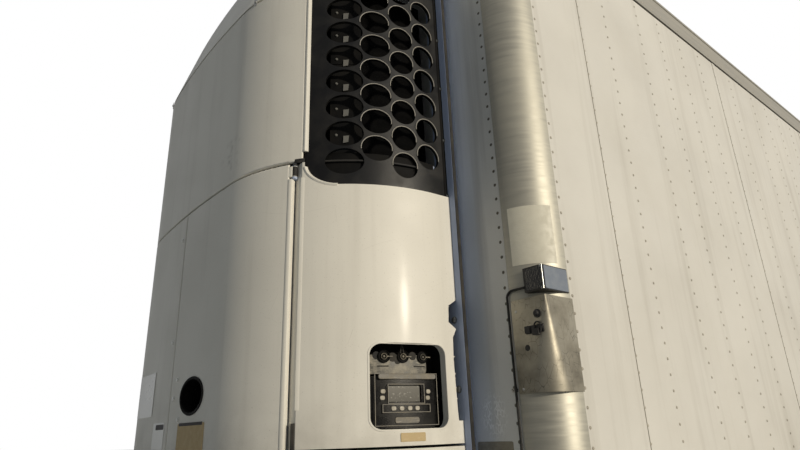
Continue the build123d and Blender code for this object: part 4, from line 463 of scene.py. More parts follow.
# Which finish each node of the frame gets
NODE_LOOKS = {
    "side_skin": "side_wall_left side_wall_right",
    "front_skin": "front_wall",
    "aluminium_post": "corner_posts",
    "box_sheet": "corner_box",
    "aluminium_long": "bottom_rails top_rails",
    "roof_white": "roof_panel",
    "floor_metal": "floor_deck",
    "under_metal": "crossmembers",
    "aluminium_plate": "cold_air_outlet fuel_tank",
    "chassis_black": "coupler_plate landing_braces slide_rails bogie_frame axles rear_guard air_tanks",
    "galvanised": "landing_legs service_connectors lock_keepers",
    "cast_iron": "leaf_springs",
    "flap_rubber": "mudflaps dock_bumpers",
    "stainless": "rear_frame door_hinges_left door_hinges_right lock_rods_left lock_rods_right",
    "door_white": "rear_door_left rear_door_right",
    "red_lens": "tail_lamps",
    "amber_lens": "marker_lamps",
    "unit_frame_painted_sky_shade": "unit_frame",
    "shell_white": "unit_hood unit_upper_front unit_skirts unit_side_panel_left unit_side_panel_right "
    "unit_door_left unit_door_right",
    "grille_black": "unit_grille_left unit_grille_right",
    "black_plastic": "status_lamp",
    "coil_fins_painted_shade": "condenser_coils",
    "tray_plastic": "controller_recess",
    "housing_grey": "controller",
    "grey_plate": "gauge_plate",
    "engine_green": "engine_block",
    "black_rubber": "lamp_cable",
    "wheel_white": "wheel_front_left wheel_front_right wheel_rear_left wheel_rear_right",
    "tyre_rubber": "tyres_front_left tyres_front_right tyres_rear_left tyres_rear_right",
}
for look, names in NODE_LOOKS.items():
    for name in names.split():
        for slot in nodes[name].material_slots:
            slot.material = LOOKS[look].material
for name, look in LOOKS.items():
    look.material.name = name


# Shapes


class Shape:
    """Collects simple forms into one mesh. `at` is the local frame of a form."""

    def __init__(self):
        self.points = []
        self.faces = []

    def add(self, points, faces, at=Matrix()):
        start = len(self.points)
        self.points += [at @ Vector(point) for point in points]
        self.faces += [tuple(start + i for i in face) for face in faces]

    def box(self, low, high, at=Matrix()):
        points = [(x, y, z) for x in (low[0], high[0]) for y in (low[1], high[1]) for z in (low[2], high[2])]
        faces = [(0, 1, 3, 2), (4, 6, 7, 5), (0, 4, 5, 1), (2, 3, 7, 6), (0, 2, 6, 4), (1, 5, 7, 3)]
        self.add(points, faces, at)

    def slab(self, side, x, y, z):
        """A box from its reach along x, its distances from the middle on one side, and its heights."""
        y = sorted(side * distance for distance in y)
        self.box((x[0], y[0], z[0]), (x[1], y[1], z[1]))

    def prism(self, bottom, top, at=Matrix()):
        """Two outlines of as many points, with the faces between them."""
        count = len(bottom)
        faces = [tuple(reversed(range(count))), tuple(range(count, 2 * count))]
        faces += [(i, (i + 1) % count, count + (i + 1) % count, count + i) for i in range(count)]
        self.add([*bottom, *top], faces, at)

    def lathe(self, profile, segments=24, at=Matrix()):
        """Turns (radius, height) points about the local z axis."""
        points, rings, faces = [], [], []
        for radius, height in profile:
            count = 1 if radius == 0 else segments
            rings.append([len(points) + i for i in range(count)])
            points += [(x, y, height) for x, y, _ in around(radius, segments)[:count]]
        for low, high in zip(rings, rings[1:]):
            for i in range(segments):
                j = (i + 1) % segments
                if len(low) == 1:
                    faces.append((low[0], high[i], high[j]))
                elif len(high) == 1:
                    faces.append((low[i], low[j], high[0]))
                else:
                    faces.append((low[i], low[j], high[j], high[i]))
        self.add(points, faces, at)

    def bar(self, start, end, radius, segments=12, at=Matrix()):
        """A round bar with chamfered ends."""
        path = Vector(end) - Vector(start)
        turn = at @ Matrix.Translation(start) @ path.to_track_quat("Z", "Y").to_matrix().to_4x4()
        cut = radius * 0.15
        profile = [(0, 0), (radius - cut, 0), (radius, cut), (radius, path.length - cut)]
        self.lathe(profile + [(radius - cut, path.length), (0, path.length)], segments, turn)

    def bolt(self, point, out, size=0.012, height=0.008):
        """A six-sided head on a washer."""
        at = facing(point, out)
        self.lathe([(size * 1.25, 0), (size * 1.25, height * 0.2), (size, height * 0.2)], 12, at)
        self.lathe([(size, height * 0.2), (size, height * 0.9), (size * 0.85, height), (0, height)], 6, at)

    def dome(self, point, out, radius=RIVET_RADIUS, height=RIVET_HEIGHT, segments=8, at=Matrix()):
        """A rivet's rounded head."""
        profile = [(radius, 0), (radius * 0.72, height * 0.72), (0, height)]
        self.lathe(profile, segments, at @ facing(point, out))

    def plate(self, width, height, thickness, radius=0.004, at=Matrix()):
        """A rounded plate centred on a frame and lying on it."""
        rim = min(thickness * 0.4, radius * 0.5)
        points = []
        for inset, rise in ((0, 0), (0, thickness - rim), (rim, thickness)):
            corner = max(radius - inset, 0.0002) if inset else radius
            outline = rounded_loop(width - 2 * inset, height - 2 * inset, corner, 3)
            points += [(x, y, rise) for x, y in outline]
        count = len(outline)
        faces = [tuple(reversed(range(count))), tuple(range(2 * count, 3 * count))]
        for a, b in ((0, count), (count, 2 * count)):
            for i in range(count):
                j = (i + 1) % count
                faces.append((a + i, a + j, b + j, b + i))
        self.add(points, faces, at)

    def sweep(self, path, outs, section, closed=False, at=Matrix()):
        """Carries a closed section of (sideways, outward) points along a path."""
        count = len(path)
        points = []
        for i, point in enumerate(path):
            before = path[i - 1] if i or closed else path[i]
            after = path[(i + 1) % count] if i < count - 1 or closed else path[i]
            along = (Vector(after) - Vector(before)).normalized()
            out = Vector(outs[i])
            across = out.cross(along).normalized()
            points += [Vector(point) + across * side + out * up for side, up in section]
        size = len(section)
        faces = []
        for i in range(count if closed else count - 1):
            first, second = i * size, ((i + 1) % count) * size
            for j in range(size):
                k = (j + 1) % size
                faces.append((first + j, first + k, second + k, second + j))
        if not closed:
            faces.append(tuple(reversed(range(size))))
            faces.append(tuple((count - 1) * size + j for j in range(size)))
        self.add(points, faces, at)

    def hose(self, path, radius, segments=8):
        """A round tube along a path."""
        outs = []
        for i in range(len(path)):
            along = Vector(path[min(i + 1, len(path) - 1)]) - Vector(path[max(i - 1, 0)])
            side = along.cross(Vector(UP))
            outs.append((side if side.length > 1e-6 else Vector((0, 1, 0))).normalized())
        self.sweep(path, outs, ring(radius, segments))


def around(radius, count, turn=0.0):
    """Points spaced evenly on a circle, as (x, y, angle)."""
    angles = [math.radians(turn) + 2 * math.pi * i / count for i in range(count)]
    return [(radius * math.cos(a), radius * math.sin(a), a) for a in angles]


def ring(radius, count):
    """The points of a round section."""
    return [(x, y) for x, y, _ in around(radius, count)]


def frame_bars(low, high, wall):
    """Four bars that make a ring inside a rectangle, as (low, high) corners."""
    (a, b), (c, d) = low, high
    return (
        ((a, b), (c, b + wall)),
        ((a, d - wall), (c, d)),
        ((a, b + wall), (a + wall, d - wall)),
        ((c - wall, b + wall), (c, d - wall)),
    )


def strip(width, low, high):
    """A flat section with slightly rounded upper corners."""
    half = width / 2
    cut = min(half, high - low) * 0.35
    top = [(half, high - cut), (half - cut, high), (cut - half, high), (-half, high - cut)]
    return [(-half, low), (half, low), *top]


def facing(point, out):
    """A frame at a point whose z axis points out."""
    return Matrix.Translation(point) @ Vector(out).to_track_quat("Z", "Y").to_matrix().to_4x4()


def upright(point, out):
    """A frame on an upright face: x to the right as seen from outside, y up, z out."""
    columns = ((-out[1], out[0], 0), UP, (out[0], out[1], 0))
    turn = Matrix([[column[i] for column in columns] for i in range(3)]).to_4x4()
    return Matrix.Translation(point) @ turn


def rounded_loop(width, height, radius, steps=6):
    """The outline of a rounded rectangle about the origin."""
    points = []
    for turn, (cx, cy) in enumerate(((1, 1), (-1, 1), (-1, -1), (1, -1))):
        for i in range(steps + 1):
            angle = math.pi / 2 * (turn + i / steps)
            x = cx * (width / 2 - radius) + radius * math.cos(angle)
            y = cy * (height / 2 - radius) + radius * math.sin(angle)
            points.append((x, y))
    return points


def oval_path(at, half_width, half_height, start=0.0, sweep=360.0, steps=24, lift=0.0):
    """Points and outward directions along an oval in a frame's plane."""
    path, outs = [], []
    for i in range(steps if sweep >= 360 else steps + 1):
        angle = math.radians(start + sweep * i / steps)
        cosine, sine = math.cos(angle), math.sin(angle)
        path.append(at @ Vector((half_width * cosine, half_height * sine, lift)))
        outs.append((at.to_3x3() @ Vector((cosine / half_width, sine / half_height, 0))).normalized())
    return path, outs


def both_ways(half, back, z):
    """Points and outward directions along half an outline and back along its other half."""
    path = [Vector((x, y, z)) for (x, y), _ in half] + [Vector((x, -y, z)) for (x, y), _ in back]
    outs = [Vector((x, y, 0)) for _, (x, y) in half] + [Vector((x, -y, 0)) for _, (x, y) in back]
    return path, outs


def make(name, shape, look, body="trailer", bevel=0.0, steps=1):
    """Turns a collected shape into a piece that rides on a body."""
    mesh = bpy.data.meshes.new(name)
    mesh.from_pydata(shape.points, [], shape.faces)
    mesh.materials.append(LOOKS[look].material)
    tidy = bmesh.new()
    tidy.from_mesh(mesh)
    bmesh.ops.recalc_face_normals(tidy, faces=tidy.faces)
    tidy.to_mesh(mesh)
    tidy.free()
    mesh.shade_smooth()
    mesh.set_sharp_from_angle(angle=math.radians(38))
    piece = bpy.data.objects.new(name, mesh)
    bpy.context.scene.collection.objects.link(piece)
    if bevel:
        edge = piece.modifiers.new("edges", "BEVEL")
        edge.width = bevel
        edge.segments = steps
        edge.limit_method = "ANGLE"
        edge.angle_limit = math.radians(40)
    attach(piece, body)


PIECES = []


def makes(name, look, slot, body="trailer", bevel=0.0, steps=1):
    """Marks a function that fills a piece's shape. A name with {side} stands for one on each side."""

    def keep(fill):
        PIECES.append((fill, name, look, slot, body, bevel, steps))
        return fill

    return keep


def dress():
    """Makes every piece: once, on each side, or on each wheel."""
    for fill, name, look, slot, body, bevel, steps in PIECES:
        places = [({}, ())]
        if "{place}" in name:
            places = [
                ({"place": place, "side": label}, (facing((x, 0, HUB_Z), (0, side, 0)),))
                for place, x in AXLES
                for label, side in SIDES
            ]
        elif "{side}" in name:
            places = [({"side": label}, (side,)) for label, side in SIDES]
        for words, given in places:
            shape = Shape()
            fill(shape, *given)
            if shape.points:
                make(name.format(**words), shape, look, body.format(**words), bevel, steps)


# Places on the refrigeration unit's skin


def on_corner(angle, radius, side=1):
    """A place (x, y) and the outward direction on the skin's round corner."""
    across = SKIN_CENTRE_Y + radius * math.cos(angle)
    ahead = SKIN_CENTRE_DEPTH + radius * math.sin(angle)
    return (FRONT - ahead, side * across), (-math.sin(angle), side * math.cos(angle))


def skin(side, depth=None, y=None, inset=0.0):
    """A place (x, y) on the unit's skin and the outward direction there, from a depth or from a y."""
    radius = SKIN_RADIUS - inset
    if y is not None and abs(y) <= BOW_EDGE_Y:
        bow = BOW_RADIUS - inset
        lean = math.asin(y / bow)
        return (FRONT - BOW_CENTRE - bow * math.cos(lean), y), (-math.cos(lean), math.sin(lean))
    if y is not None:
        angle = math.acos(min((abs(y) - SKIN_CENTRE_Y) / radius, 1.0))
    else:
        angle = math.asin((depth - SKIN_CENTRE_DEPTH) / radius)
    if angle >= SIDE_TAPER:
        return on_corner(angle, radius, side)
    (bend, across), out = on_corner(SIDE_TAPER, radius)
    across += (FRONT - bend - depth) * math.tan(SIDE_TAPER)
    return (FRONT - depth, side * across), (out[0], side * out[1])


def skin_frame(side, z, depth=None, y=None, inset=0.0):
    """A frame on the skin: x to the right as seen from outside, y up, z outwards."""
    place, out = skin(side, depth, y, inset)
    return upright((*place, z), out)


def skin_path(side, places, inset=0.0):
    """Points and outward directions at (depth, z) places on the skin."""
    path, outs = [], []
    for depth, z in places:
        place, out = skin(side, depth, inset=inset)
        path.append(Vector((*place, z)))
        outs.append(Vector((*out, 0)))
    return path, outs


def skin_band(z, depth, inset, steps=40):
    """Points and outward directions right round the unit at one height, from side to side."""
    radius = SKIN_RADIUS - inset
    start = math.asin((depth - SKIN_CENTRE_DEPTH) / radius)
    end = math.pi / 2 - math.asin(BOW_EDGE_Y / BOW_RADIUS)
    half = [on_corner(start + (end - start) * i / steps, radius) for i in range(steps + 1)]
    half += [skin(1, y=BOW_EDGE_Y * (1 - i / 10), inset=inset) for i in range(1, 11)]
    return both_ways(half, half[-2::-1], z)


def edge_sweep(shape, side, low, high, depth, section):
    """Carries a section up the skin. Its sideways distance runs forward along the skin."""
    path, outs = skin_path(side, [(depth, low + (high - low) * i / 4) for i in range(5)])
    shape.sweep(path, outs, [(-side * across, up) for across, up in section])


# Insulated box


@makes("wall_rivets_{side}", "rivets_dirt_and_painted_shade", "side_skin")
def wall_rivets(shape, side):
    """Rivet heads over a side wall and along both rails."""
    face = side * (WALL_FACE + LAP_THICKNESS * 0.5)
    for x in WALL_COLUMNS:
        for i in range(int((WALL_TOP - RAIL_TOP - 0.07) / RIVET_PITCH) + 1):
            shape.dome((x, face, RAIL_TOP + 0.035 + i * RIVET_PITCH), (0, side, 0))
    for i in range(int((WALL_END - WALL_FRONT) / 0.1)):
        for z in (RAIL_TOP - 0.022, RAIL_LOW + 0.03, WALL_TOP + 0.03):
            shape.dome((WALL_FRONT + 0.05 + i * 0.1, side * HALF, z), (0, side, 0))


@makes("wall_laps_{side}", "side_skin", "side_skin")
def wall_laps(shape, side):
    """The doubled edge of each wall sheet, where it laps over the next one."""
    for x in WALL_SEAMS:
        reach = (WALL_FACE - 0.001, WALL_FACE + LAP_THICKNESS)
        shape.slab(side, (x - 0.002, x + LAP_WIDTH), reach, WALL_SPAN)


@makes("wall_seams_{side}", "seam_sealant_and_painted_shadow", "black_plastic")
def wall_seams(shape, side):
    """Thin dark sealant beside each lap, which also paints the shadow at the lap's edge."""
    for x in WALL_SEAMS:
        shape.slab(side, (x - 0.0048, x - 0.002), (WALL_FACE - 0.001, WALL_FACE + 0.0007), WALL_SPAN)


def plan_path(z, offset=0.0):
    """Points and directions round the box's front and sides at one height."""
    radius = POST_RADIUS + offset
    half = [((WALL_END, HALF + offset), (0, 1))]
    for i in range(13):
        angle = math.pi / 2 * i / 12
        x, y = WALL_FRONT - radius * math.sin(angle), HALF - POST_RADIUS + radius * math.cos(angle)
        half.append(((x, y), (-math.sin(angle), math.cos(angle))))
    return both_ways(half, half[::-1], z)


@makes("rail_lips", "aluminium_long", "bare_aluminium")
def rail_lips(shape):
    """Rolled lips along the edges of the rails, round the nose and down both sides."""
    for z, width, reach in (
        (WALL_TOP + 0.006, 0.012, 0.003),
        (ROOF_TOP - 0.018, 0.010, 0.004),
        (RAIL_TOP - 0.006, 0.012, 0.003),
        (RAIL_LOW + 0.008, 0.016, 0.004),
    ):
        shape.sweep(*plan_path(z), strip(width, -0.0015, reach))


@makes("rail_sealant", "black_rubber", "black_plastic")
def rail_sealant(shape):
    """The dark bead of sealant under the top rail and over the bottom rail. Under the top rail it also paints
    the shadow line beneath the rail.
    """
    for z in (WALL_TOP - 0.003, RAIL_TOP + 0.003):
        shape.sweep(*plan_path(z, -0.004), strip(0.006, -0.003, 0.0015))


@makes("post_rivets", "dull_rivets", "bare_aluminium")
def post_rivets(shape):
    """Rivets along both edges of each corner post and of the front wall."""
    for side in BOTH:
        for i in range(int((WALL_TOP - RAIL_TOP - 0.06) / 0.055)):
            point = (FRONT_FACE, side * 1.134, RAIL_TOP + 0.035 + i * 0.055)
            shape.dome(point, AHEAD, 0.0072, 0.003, 10)
    for i in range(24):
        y = -1.104 + i * 0.096
        for x, z in (
            (FRONT_FACE, RAIL_TOP + 0.022),
            (FRONT_FACE, WALL_TOP - 0.022),
            (FRONT, RAIL_TOP - 0.022),
            (FRONT, WALL_TOP + 0.03),
        ):
            shape.dome((x, y, z), AHEAD)


@makes("front_wall_laps", "front_skin", "side_skin")
def front_wall_laps(shape):
    """Upright lap strips of the front wall beside the unit."""
    for side in BOTH:
        shape.slab(side, (FRONT_FACE - 0.0012, FRONT_FACE + 0.001), (1.118, 1.150), WALL_SPAN)


@makes("post_sticker", "sticker_white", "door_skin")
def post_sticker(shape):
    """A blank sticker bent round the roadside post."""
    angles = [math.radians(17 + (80 - 17) * i / 14) for i in range(15)]
    outs = [Vector((-math.sin(angle), -math.cos(angle), 0)) for angle in angles]
    centre = Vector((WALL_FRONT, POST_RADIUS - HALF, 2.45))
    shape.sweep([centre + POST_RADIUS * out for out in outs], outs, strip(0.21, 0.0001, 0.0006))


@makes("front_wall_label", "grey_label", "door_skin")
def front_wall_label(shape):
    """A small blank label on the front wall."""
    shape.plate(0.155, 0.105, 0.0008, 0.006, upright((FRONT_FACE, -1.030, 1.735), AHEAD))


@makes("marking_tape", "tape", "red_lens")
def marking_tape(shape):
    """Reflective tape along both bottom rails."""
    for side in BOTH:
        span = (WALL_FRONT + 0.05, WALL_END - 0.02)
        shape.slab(side, span, (HALF, HALF + 0.0006), (RAIL_LOW + 0.105, RAIL_LOW + 0.156))


# Corner fittings on the roadside post


CORNER_X, CORNER_Y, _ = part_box("corner_box")[0]
LAMP_LOW, LAMP_TOP = (corner.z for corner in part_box("status_lamp"))
LAMP_MIDDLE = (LAMP_LOW + LAMP_TOP) / 2
LAMP_HEIGHT = LAMP_TOP - LAMP_LOW


@makes("status_lens", "dark_lens", "black_plastic")
def status_lens(shape):
    """The status lamp's dark pane."""
    at = upright((CORNER_X, CORNER_Y + 0.036, LAMP_MIDDLE), AHEAD)
    shape.plate(0.062, LAMP_HEIGHT - 0.010, 0.0022, 0.006, at)


@makes("status_cover", "plate_painted_sky_reflection", "black_plastic")
def status_cover(shape):
    """The plate on the status lamp's side. Its blue-grey is a painted reflection of the sky."""
    at = upright((CORNER_X + 0.072, CORNER_Y, LAMP_MIDDLE), (0, -1))
    shape.plate(0.124, LAMP_HEIGHT - 0.006, 0.0018, 0.005, at)


@makes("status_ridge", "bright_metal", "bare_aluminium")
def status_ridge(shape):
    """Bright lines down the status lamp's corner."""
    for dx, dy, radius in ((0.001, 0.001, 0.0026), (-0.0005, 0.0065, 0.0014)):
        x, y = CORNER_X + dx, CORNER_Y + dy
        shape.bar((x, y, LAMP_LOW), (x, y, LAMP_TOP), radius)


@makes("corner_box_fittings", "bright_metal", "bare_aluminium")
def corner_box_fittings(shape):
    """The rivets on the corner box's front face, and the clips that hold the cable."""
    for z in (2.189, 1.941):
        shape.dome((CORNER_X, -1.175, z), AHEAD, 0.005, 0.0022)
    for z in (1.60, 1.941):
        shape.plate(0.030, 0.012, 0.0015, 0.003, upright((FRONT, -1.140, z), AHEAD))


@makes("corner_box_lock", "black_plastic", "black_plastic", bevel=0.001)
def corner_box_lock(shape):
    """The dark knob, the hasp with its small padlock, and the key hole."""
    knob = [(0.014, 0), (0.014, 0.0035), (0.009, 0.0042), (0.0085, 0.011), (0.0065, 0.013), (0, 0.013)]
    shape.lathe(knob, 20, facing((CORNER_X, -1.262, 2.170), AHEAD))
    at = upright((CORNER_X, -1.246, 2.122), AHEAD)
    shape.plate(0.074, 0.026, 0.003, 0.004, at)
    shape.box((-0.036, -0.011, 0.003), (-0.016, 0.012, 0.008), at)
    shackle = oval_path(Matrix.Translation((0.016, 0.004, 0.007)), 0.014, 0.017, steps=20)
    shape.sweep(*shackle, ring(0.0028, 8), True, at)
    shape.box((-0.003, -0.020, 0.003), (0.022, 0.000, 0.013), at)
    shape.bar((0.024, -0.014, 0.006), (0.036, 0.010, 0.006), 0.003, 8, at)
    hole = [(0.010, 0), (0.010, 0.0008), (0.007, 0.0012), (0.006, 0.0002), (0, 0.0002)]
    shape.lathe(hole, 20, upright((CORNER_X, -1.209, 2.067), AHEAD))


# Controls in the roadside panel


GAUGE_DEPTHS = (0.317, 0.254, 0.181)
GAUGE_Z = 2.064
# The depth and height of each key
KEYS = ((0.338, 1.951), (0.340, 1.931), (0.184, 1.950), (0.187, 1.930))
KEYS += tuple((depth, 1.898) for depth in (0.306, 0.280, 0.253, 0.227))


def control(depth, z, inset=0.036):
    """A frame behind the control opening."""
    return skin_frame(-1, z, depth, inset=inset)


def gauges(shape, profile, segments):
    """Turns a profile about the middle of each gauge."""
    for depth in GAUGE_DEPTHS:
        shape.lathe(profile, segments, control(depth, GAUGE_Z, 0.0618))


@makes("recess_rim", "shell_white", "unit_shell")
def recess_rim(shape):
    """The bright worn edge round the control opening, bent with the skin."""
    places = [(0.266 - u, 1.9665 + v) for u, v in rounded_loop(0.268, 0.269, 0.038, 8)]
    shape.sweep(*skin_path(-1, places), strip(0.007, -0.004, 0.0016), True)


@makes("gauge_faces", "tray_plastic", "black_plastic")
def gauge_faces(shape):
    """The gauges' dark cups."""
    gauges(shape, [(0.0200, 0.0), (0.0210, 0.0050), (0.0190, 0.0062), (0.0185, 0.0025), (0, 0.0022)], 28)


@makes("gauge_rings", "outline_grey", "stainless")
def gauge_rings(shape):
    """A grey ring in each gauge."""
    profile = [(0.0100, 0.0020), (0.0108, 0.0075), (0.0090, 0.0085), (0.0078, 0.0070), (0.0078, 0.0020)]
    gauges(shape, profile, 24)


@makes("gauge_stems", "outline_grey", "stainless")
def gauge_stems(shape):
    """The light middle of each gauge and the stem beside it."""
    gauges(shape, [(0.0042, 0.002), (0.0042, 0.0065), (0.0030, 0.0080), (0, 0.0080)], 12)
    for depth in GAUGE_DEPTHS:
        shape.box((0.0095, -0.0016, 0.0030), (0.0300, 0.0016, 0.0058), control(depth, GAUGE_Z, 0.0618))


@makes("gauge_hollows", "black_rubber", "black_plastic")
def gauge_hollows(shape):
    """Dark hollows between the gauges, where their fittings pass through the plate: flat black discs and
    slots as painted shade.
    """
    for depth, dz, radius in (
        (0.340, 0.004, 0.013),
        (0.288, -0.002, 0.015),
        (0.218, 0.003, 0.014),
        (0.272, -0.014, 0.011),
    ):
        at = control(depth, GAUGE_Z + dz, 0.0618)
        shape.lathe([(radius, 0.0), (radius * 0.95, 0.0008), (0, 0.0008)], 18, at)
    for depth, width in ((0.320, 0.040), (0.193, 0.044)):
        shape.plate(width, 0.004, 0.0007, 0.0018, control(depth, 2.033, 0.0618))
    for low in (0.254, 0.266):
        start, end = control(low, 2.074, 0.056), control(0.262, 2.108, 0.052)
        shape.bar(start.translation, end.translation, 0.0022, 8)


@makes("display_glass", "display_glass", "black_plastic")
def display_glass(shape):
    """The display's window."""
    shape.plate(0.112, 0.050, 0.0012, 0.003, control(0.268, 1.943, 0.036 + 0.0055))


@makes("controller_keys", "key_beige", "black_plastic")
def controller_keys(shape):
    """The keys beside and under the display."""
    for depth, z in KEYS:
        shape.plate(0.0165, 0.0135, 0.0036, 0.0055, control(depth, z))


@makes("controller_outlines", "outline_grey", "black_plastic")
def controller_outlines(shape):
    """Thin raised outlines round the keys, the display and the whole housing. The one round the housing is a
    painted highlight of its bevelled edge.
    """
    for depth, z, width, height in (
        (0.263, 1.898, 0.168, 0.026),
        (0.263, 1.943, 0.130, 0.062),
        # The housing's outline: a painted highlight of its bevelled edge.
        (0.262, 1.926, 0.222, 0.162),
    ):
        for low, high in frame_bars((-width / 2, -height / 2), (width / 2, height / 2), 0.0022):
            shape.box((*low, 0), (*high, 0.0011), control(depth, z))


@makes("controller_bars", "outline_grey", "stainless")
def controller_bars(shape):
    """The blank bar over the display and the blank plate under the keys."""
    shape.plate(0.206, 0.017, 0.0032, 0.007, control(0.258, 1.997))
    shape.plate(0.084, 0.018, 0.0009, 0.006, control(0.262, 1.862))


@makes("panel_label", "tan_label", "door_skin")
def panel_label(shape):
    """A blank label under the control opening."""
    shape.plate(0.085, 0.026, 0.0008, 0.003, control(0.270, 1.811, 0))


# Refrigeration unit


DOOR_BOLTS = {
    -1: ((-0.070, 2.044), (-0.045, 1.975), (-0.110, 1.896)),
    1: ((0.030, 1.76), (0.030, 2.20), (0.030, 2.64)),
}
HINGE_DEPTH, HINGE_Y = 0.586, 0.70997
FRAME_LOW, FRAME_TOP = (corner.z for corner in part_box("unit_frame"))
FRAME_EDGE = max(abs(corner.y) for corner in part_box("unit_frame"))
# Sections of folded edges: distance forward along the skin, distance outwards
WINDOW_LIP = ((0.010, -0.001), (0.005, 0.0032), (0.0, 0.0042), (-0.0035, 0.0022))
WINDOW_LIP += ((-0.0095, -0.0078), (0.002, -0.0078))
DOOR_RETURN = ((0.015, -0.001), (0.012, 0.0016), (0.004, 0.0022), (-0.001, 0.0008))
DOOR_RETURN += ((-0.004, -0.0065), (-0.004, -0.0190), (0.006, -0.0190))
PANEL_RETURN = ((-0.012, -0.001), (-0.008, 0.0012), (0.003, 0.0012), (0.006, -0.0015))
PANEL_RETURN += ((0.006, -0.0060), (-0.004, -0.0060))
GROOVE_FOOT = ((-0.010, -0.002), (-0.007, 0.0015), (0.007, 0.0015), (0.010, -0.002))
GROOVE_FOOT += ((0.010, -0.006), (-0.010, -0.006))
GRILLE_SEAL = ((-0.0072, -0.012), (-0.0072, -0.006), (0.0072, -0.006), (0.0072, -0.012))


@makes("unit_seals", "black_rubber", "black_plastic")
def unit_seals(shape):
    """Black rubber in the seams between the unit's shells."""
    for z, depth in ((MID_SEAM, 0.14), (HOOD_SEAM, 0.572)):
        shape.sweep(*skin_band(z, depth, 0.016), strip(0.0068, -0.006, 0.003))


@makes("door_edge_seal", "black_rubber", "black_plastic", "left_unit_door")
def door_edge_seal(shape):
    """The black seal on the roadside front door's free edge."""
    (x, _), _ = skin(1, y=0.0, inset=0.016)
    shape.box((x - 0.003, -0.0046, UNIT_LOW + 0.002), (x + 0.006, 0.0028, MID_SEAM - 0.006))


@makes("unit_door_bolts_{side}", "clean_white_painted_sheen", "door_skin", "{side}_unit_door")
def unit_door_bolts(shape, side):
    """Painted bolt heads on a front door. Their clean white stands in for glints, a painted highlight."""
    for y, z in DOOR_BOLTS[side]:
        place, out = skin(side, y=y)
        shape.bolt((*place, z), (*out, 0), 0.0085, 0.006)


@makes("unit_door_pale_plates_{side}", "clean_white_painted_sheen", "door_skin", "{side}_unit_door")
def pale_plates(shape, side):
    """Pale blank plates on the kerbside front door. Their clean white is partly a painted reflection."""
    if side > 0:
        shape.plate(0.250, 0.180, 0.0015, 0.004, skin_frame(side, 2.009, y=0.340))
        shape.plate(0.140, 0.100, 0.001, 0.004, skin_frame(side, 1.842, y=0.105))


@makes("unit_door_tan_plates_{side}", "tan_label", "door_skin", "{side}_unit_door")
def tan_plates(shape, side):
    """The tan blank plate on the roadside front door."""
    if side < 0:
        shape.plate(0.232, 0.091, 0.001, 0.004, skin_frame(side, 1.8355, y=-0.232))


@makes("unit_door_plate_heads_{side}", "black_plastic", "door_skin", "{side}_unit_door")
def plate_heads(shape, side):
    """The dark head of each front door's lower plate."""
    z, y, width, height = (1.8780, -0.231, 0.206, 0.011) if side < 0 else (1.8750, 0.090, 0.100, 0.020)
    shape.plate(width, height, 0.0016, 0.004, skin_frame(side, z, y=y))


@makes("grille_rims_{side}", "rim_painted_highlight", "black_plastic")
def grille_painted_rim_highlights(shape, side):
    """Pale raised rims round the holes in a grille, their pale grey a painted highlight: over their tops, or
    at the front end of the wide ones.
    """
    for depth, lowest, count, half in HOLE_COLUMNS:
        for row in range(count):
            at = skin_frame(side, lowest + row * HOLE_PITCH, depth, inset=0.008)
            if depth > 0.4:
                start = 158 if side < 0 else -40
                oval = oval_path(at, half - 0.001, HOLE_HALF_HEIGHT - 0.001, start, 62, 8, -0.008)
            else:
                oval = oval_path(at, half - 0.0005, HOLE_HALF_HEIGHT - 0.0005, -8, 196, 18, 0.0003)
            shape.sweep(*oval, ring(0.0017, 6))


@makes("coil_tabs_{side}", "tab_grey", "coil_metal")
def coil_tabs(shape, side):
    """Small folded tabs of the coil's end plate, seen through the front column of holes."""
    depth, lowest, count, _ = HOLE_COLUMNS[0]
    outline = ((-0.010, -0.017), (0.009, -0.013), (0.012, 0.014), (-0.009, 0.012))
    for row in range(1, count):
        at = skin_frame(side, lowest + row * HOLE_PITCH - 0.002, depth - 0.032, inset=0.050)
        front, back = ([(x * -side, y, z) for x, y in outline] for z in (0.003, -0.001))
        shape.prism(front, back, at)
        shape.dome((side * 0.036, 0.018, -0.002), UP, 0.006, 0.005, 10, at)


@makes("tab_rail_{side}", "tray_plastic", "coil_metal", bevel=0.0008)
def tab_rail(shape, side):
    """The dark upright plate that carries the tabs."""
    for low, high in ((2.792, 3.190), (3.192, 3.585)):
        at = skin_frame(side, (low + high) / 2, 0.430, inset=0.053)
        shape.box((-0.060, (low - high) / 2, -0.004), (0.060, (high - low) / 2, 0.0), at)


@makes("grille_seals_{side}", "tray_plastic", "black_plastic")
def grille_seals(shape, side):
    """Black foam over the shelf's edge behind the lowest holes, and a seal behind the grille's rear edge."""
    path, outs = skin_path(side, [(0.118 + 0.024 * i, 2.745) for i in range(19)], 0.0278)
    shape.sweep(path, outs, strip(0.090, 0.0, 0.0042))
    edge_sweep(shape, side, 2.660, 3.604, 0.0762, GRILLE_SEAL)


@makes("window_lip_{side}", "shell_white", "unit_shell")
def window_lip(shape, side):
    """The painted lip down the front edge of a grille's window, where the shell turns in."""
    edge_sweep(shape, side, MID_SEAM + 0.040, HOOD_SEAM - 0.005, WINDOW_DEPTH, WINDOW_LIP)
    for centre, step in ((WINDOW_LOW + WINDOW_CORNER, 1), (WINDOW_TOP - WINDOW_CORNER, -1)):
        places = []
        for i in range(13):
            angle = math.radians(180 + step * (6 + 84 * i / 12))
            z = centre + WINDOW_CORNER * math.sin(angle)
            if abs(z - HOOD_SEAM) >= 0.006 and z <= WINDOW_TOP - 0.001:
                places.append((WINDOW_DEPTH - WINDOW_CORNER - WINDOW_CORNER * math.cos(angle), z))
        section = [(side * step * across * 0.8, up) for across, up in WINDOW_LIP]
        shape.sweep(*skin_path(side, places), section)


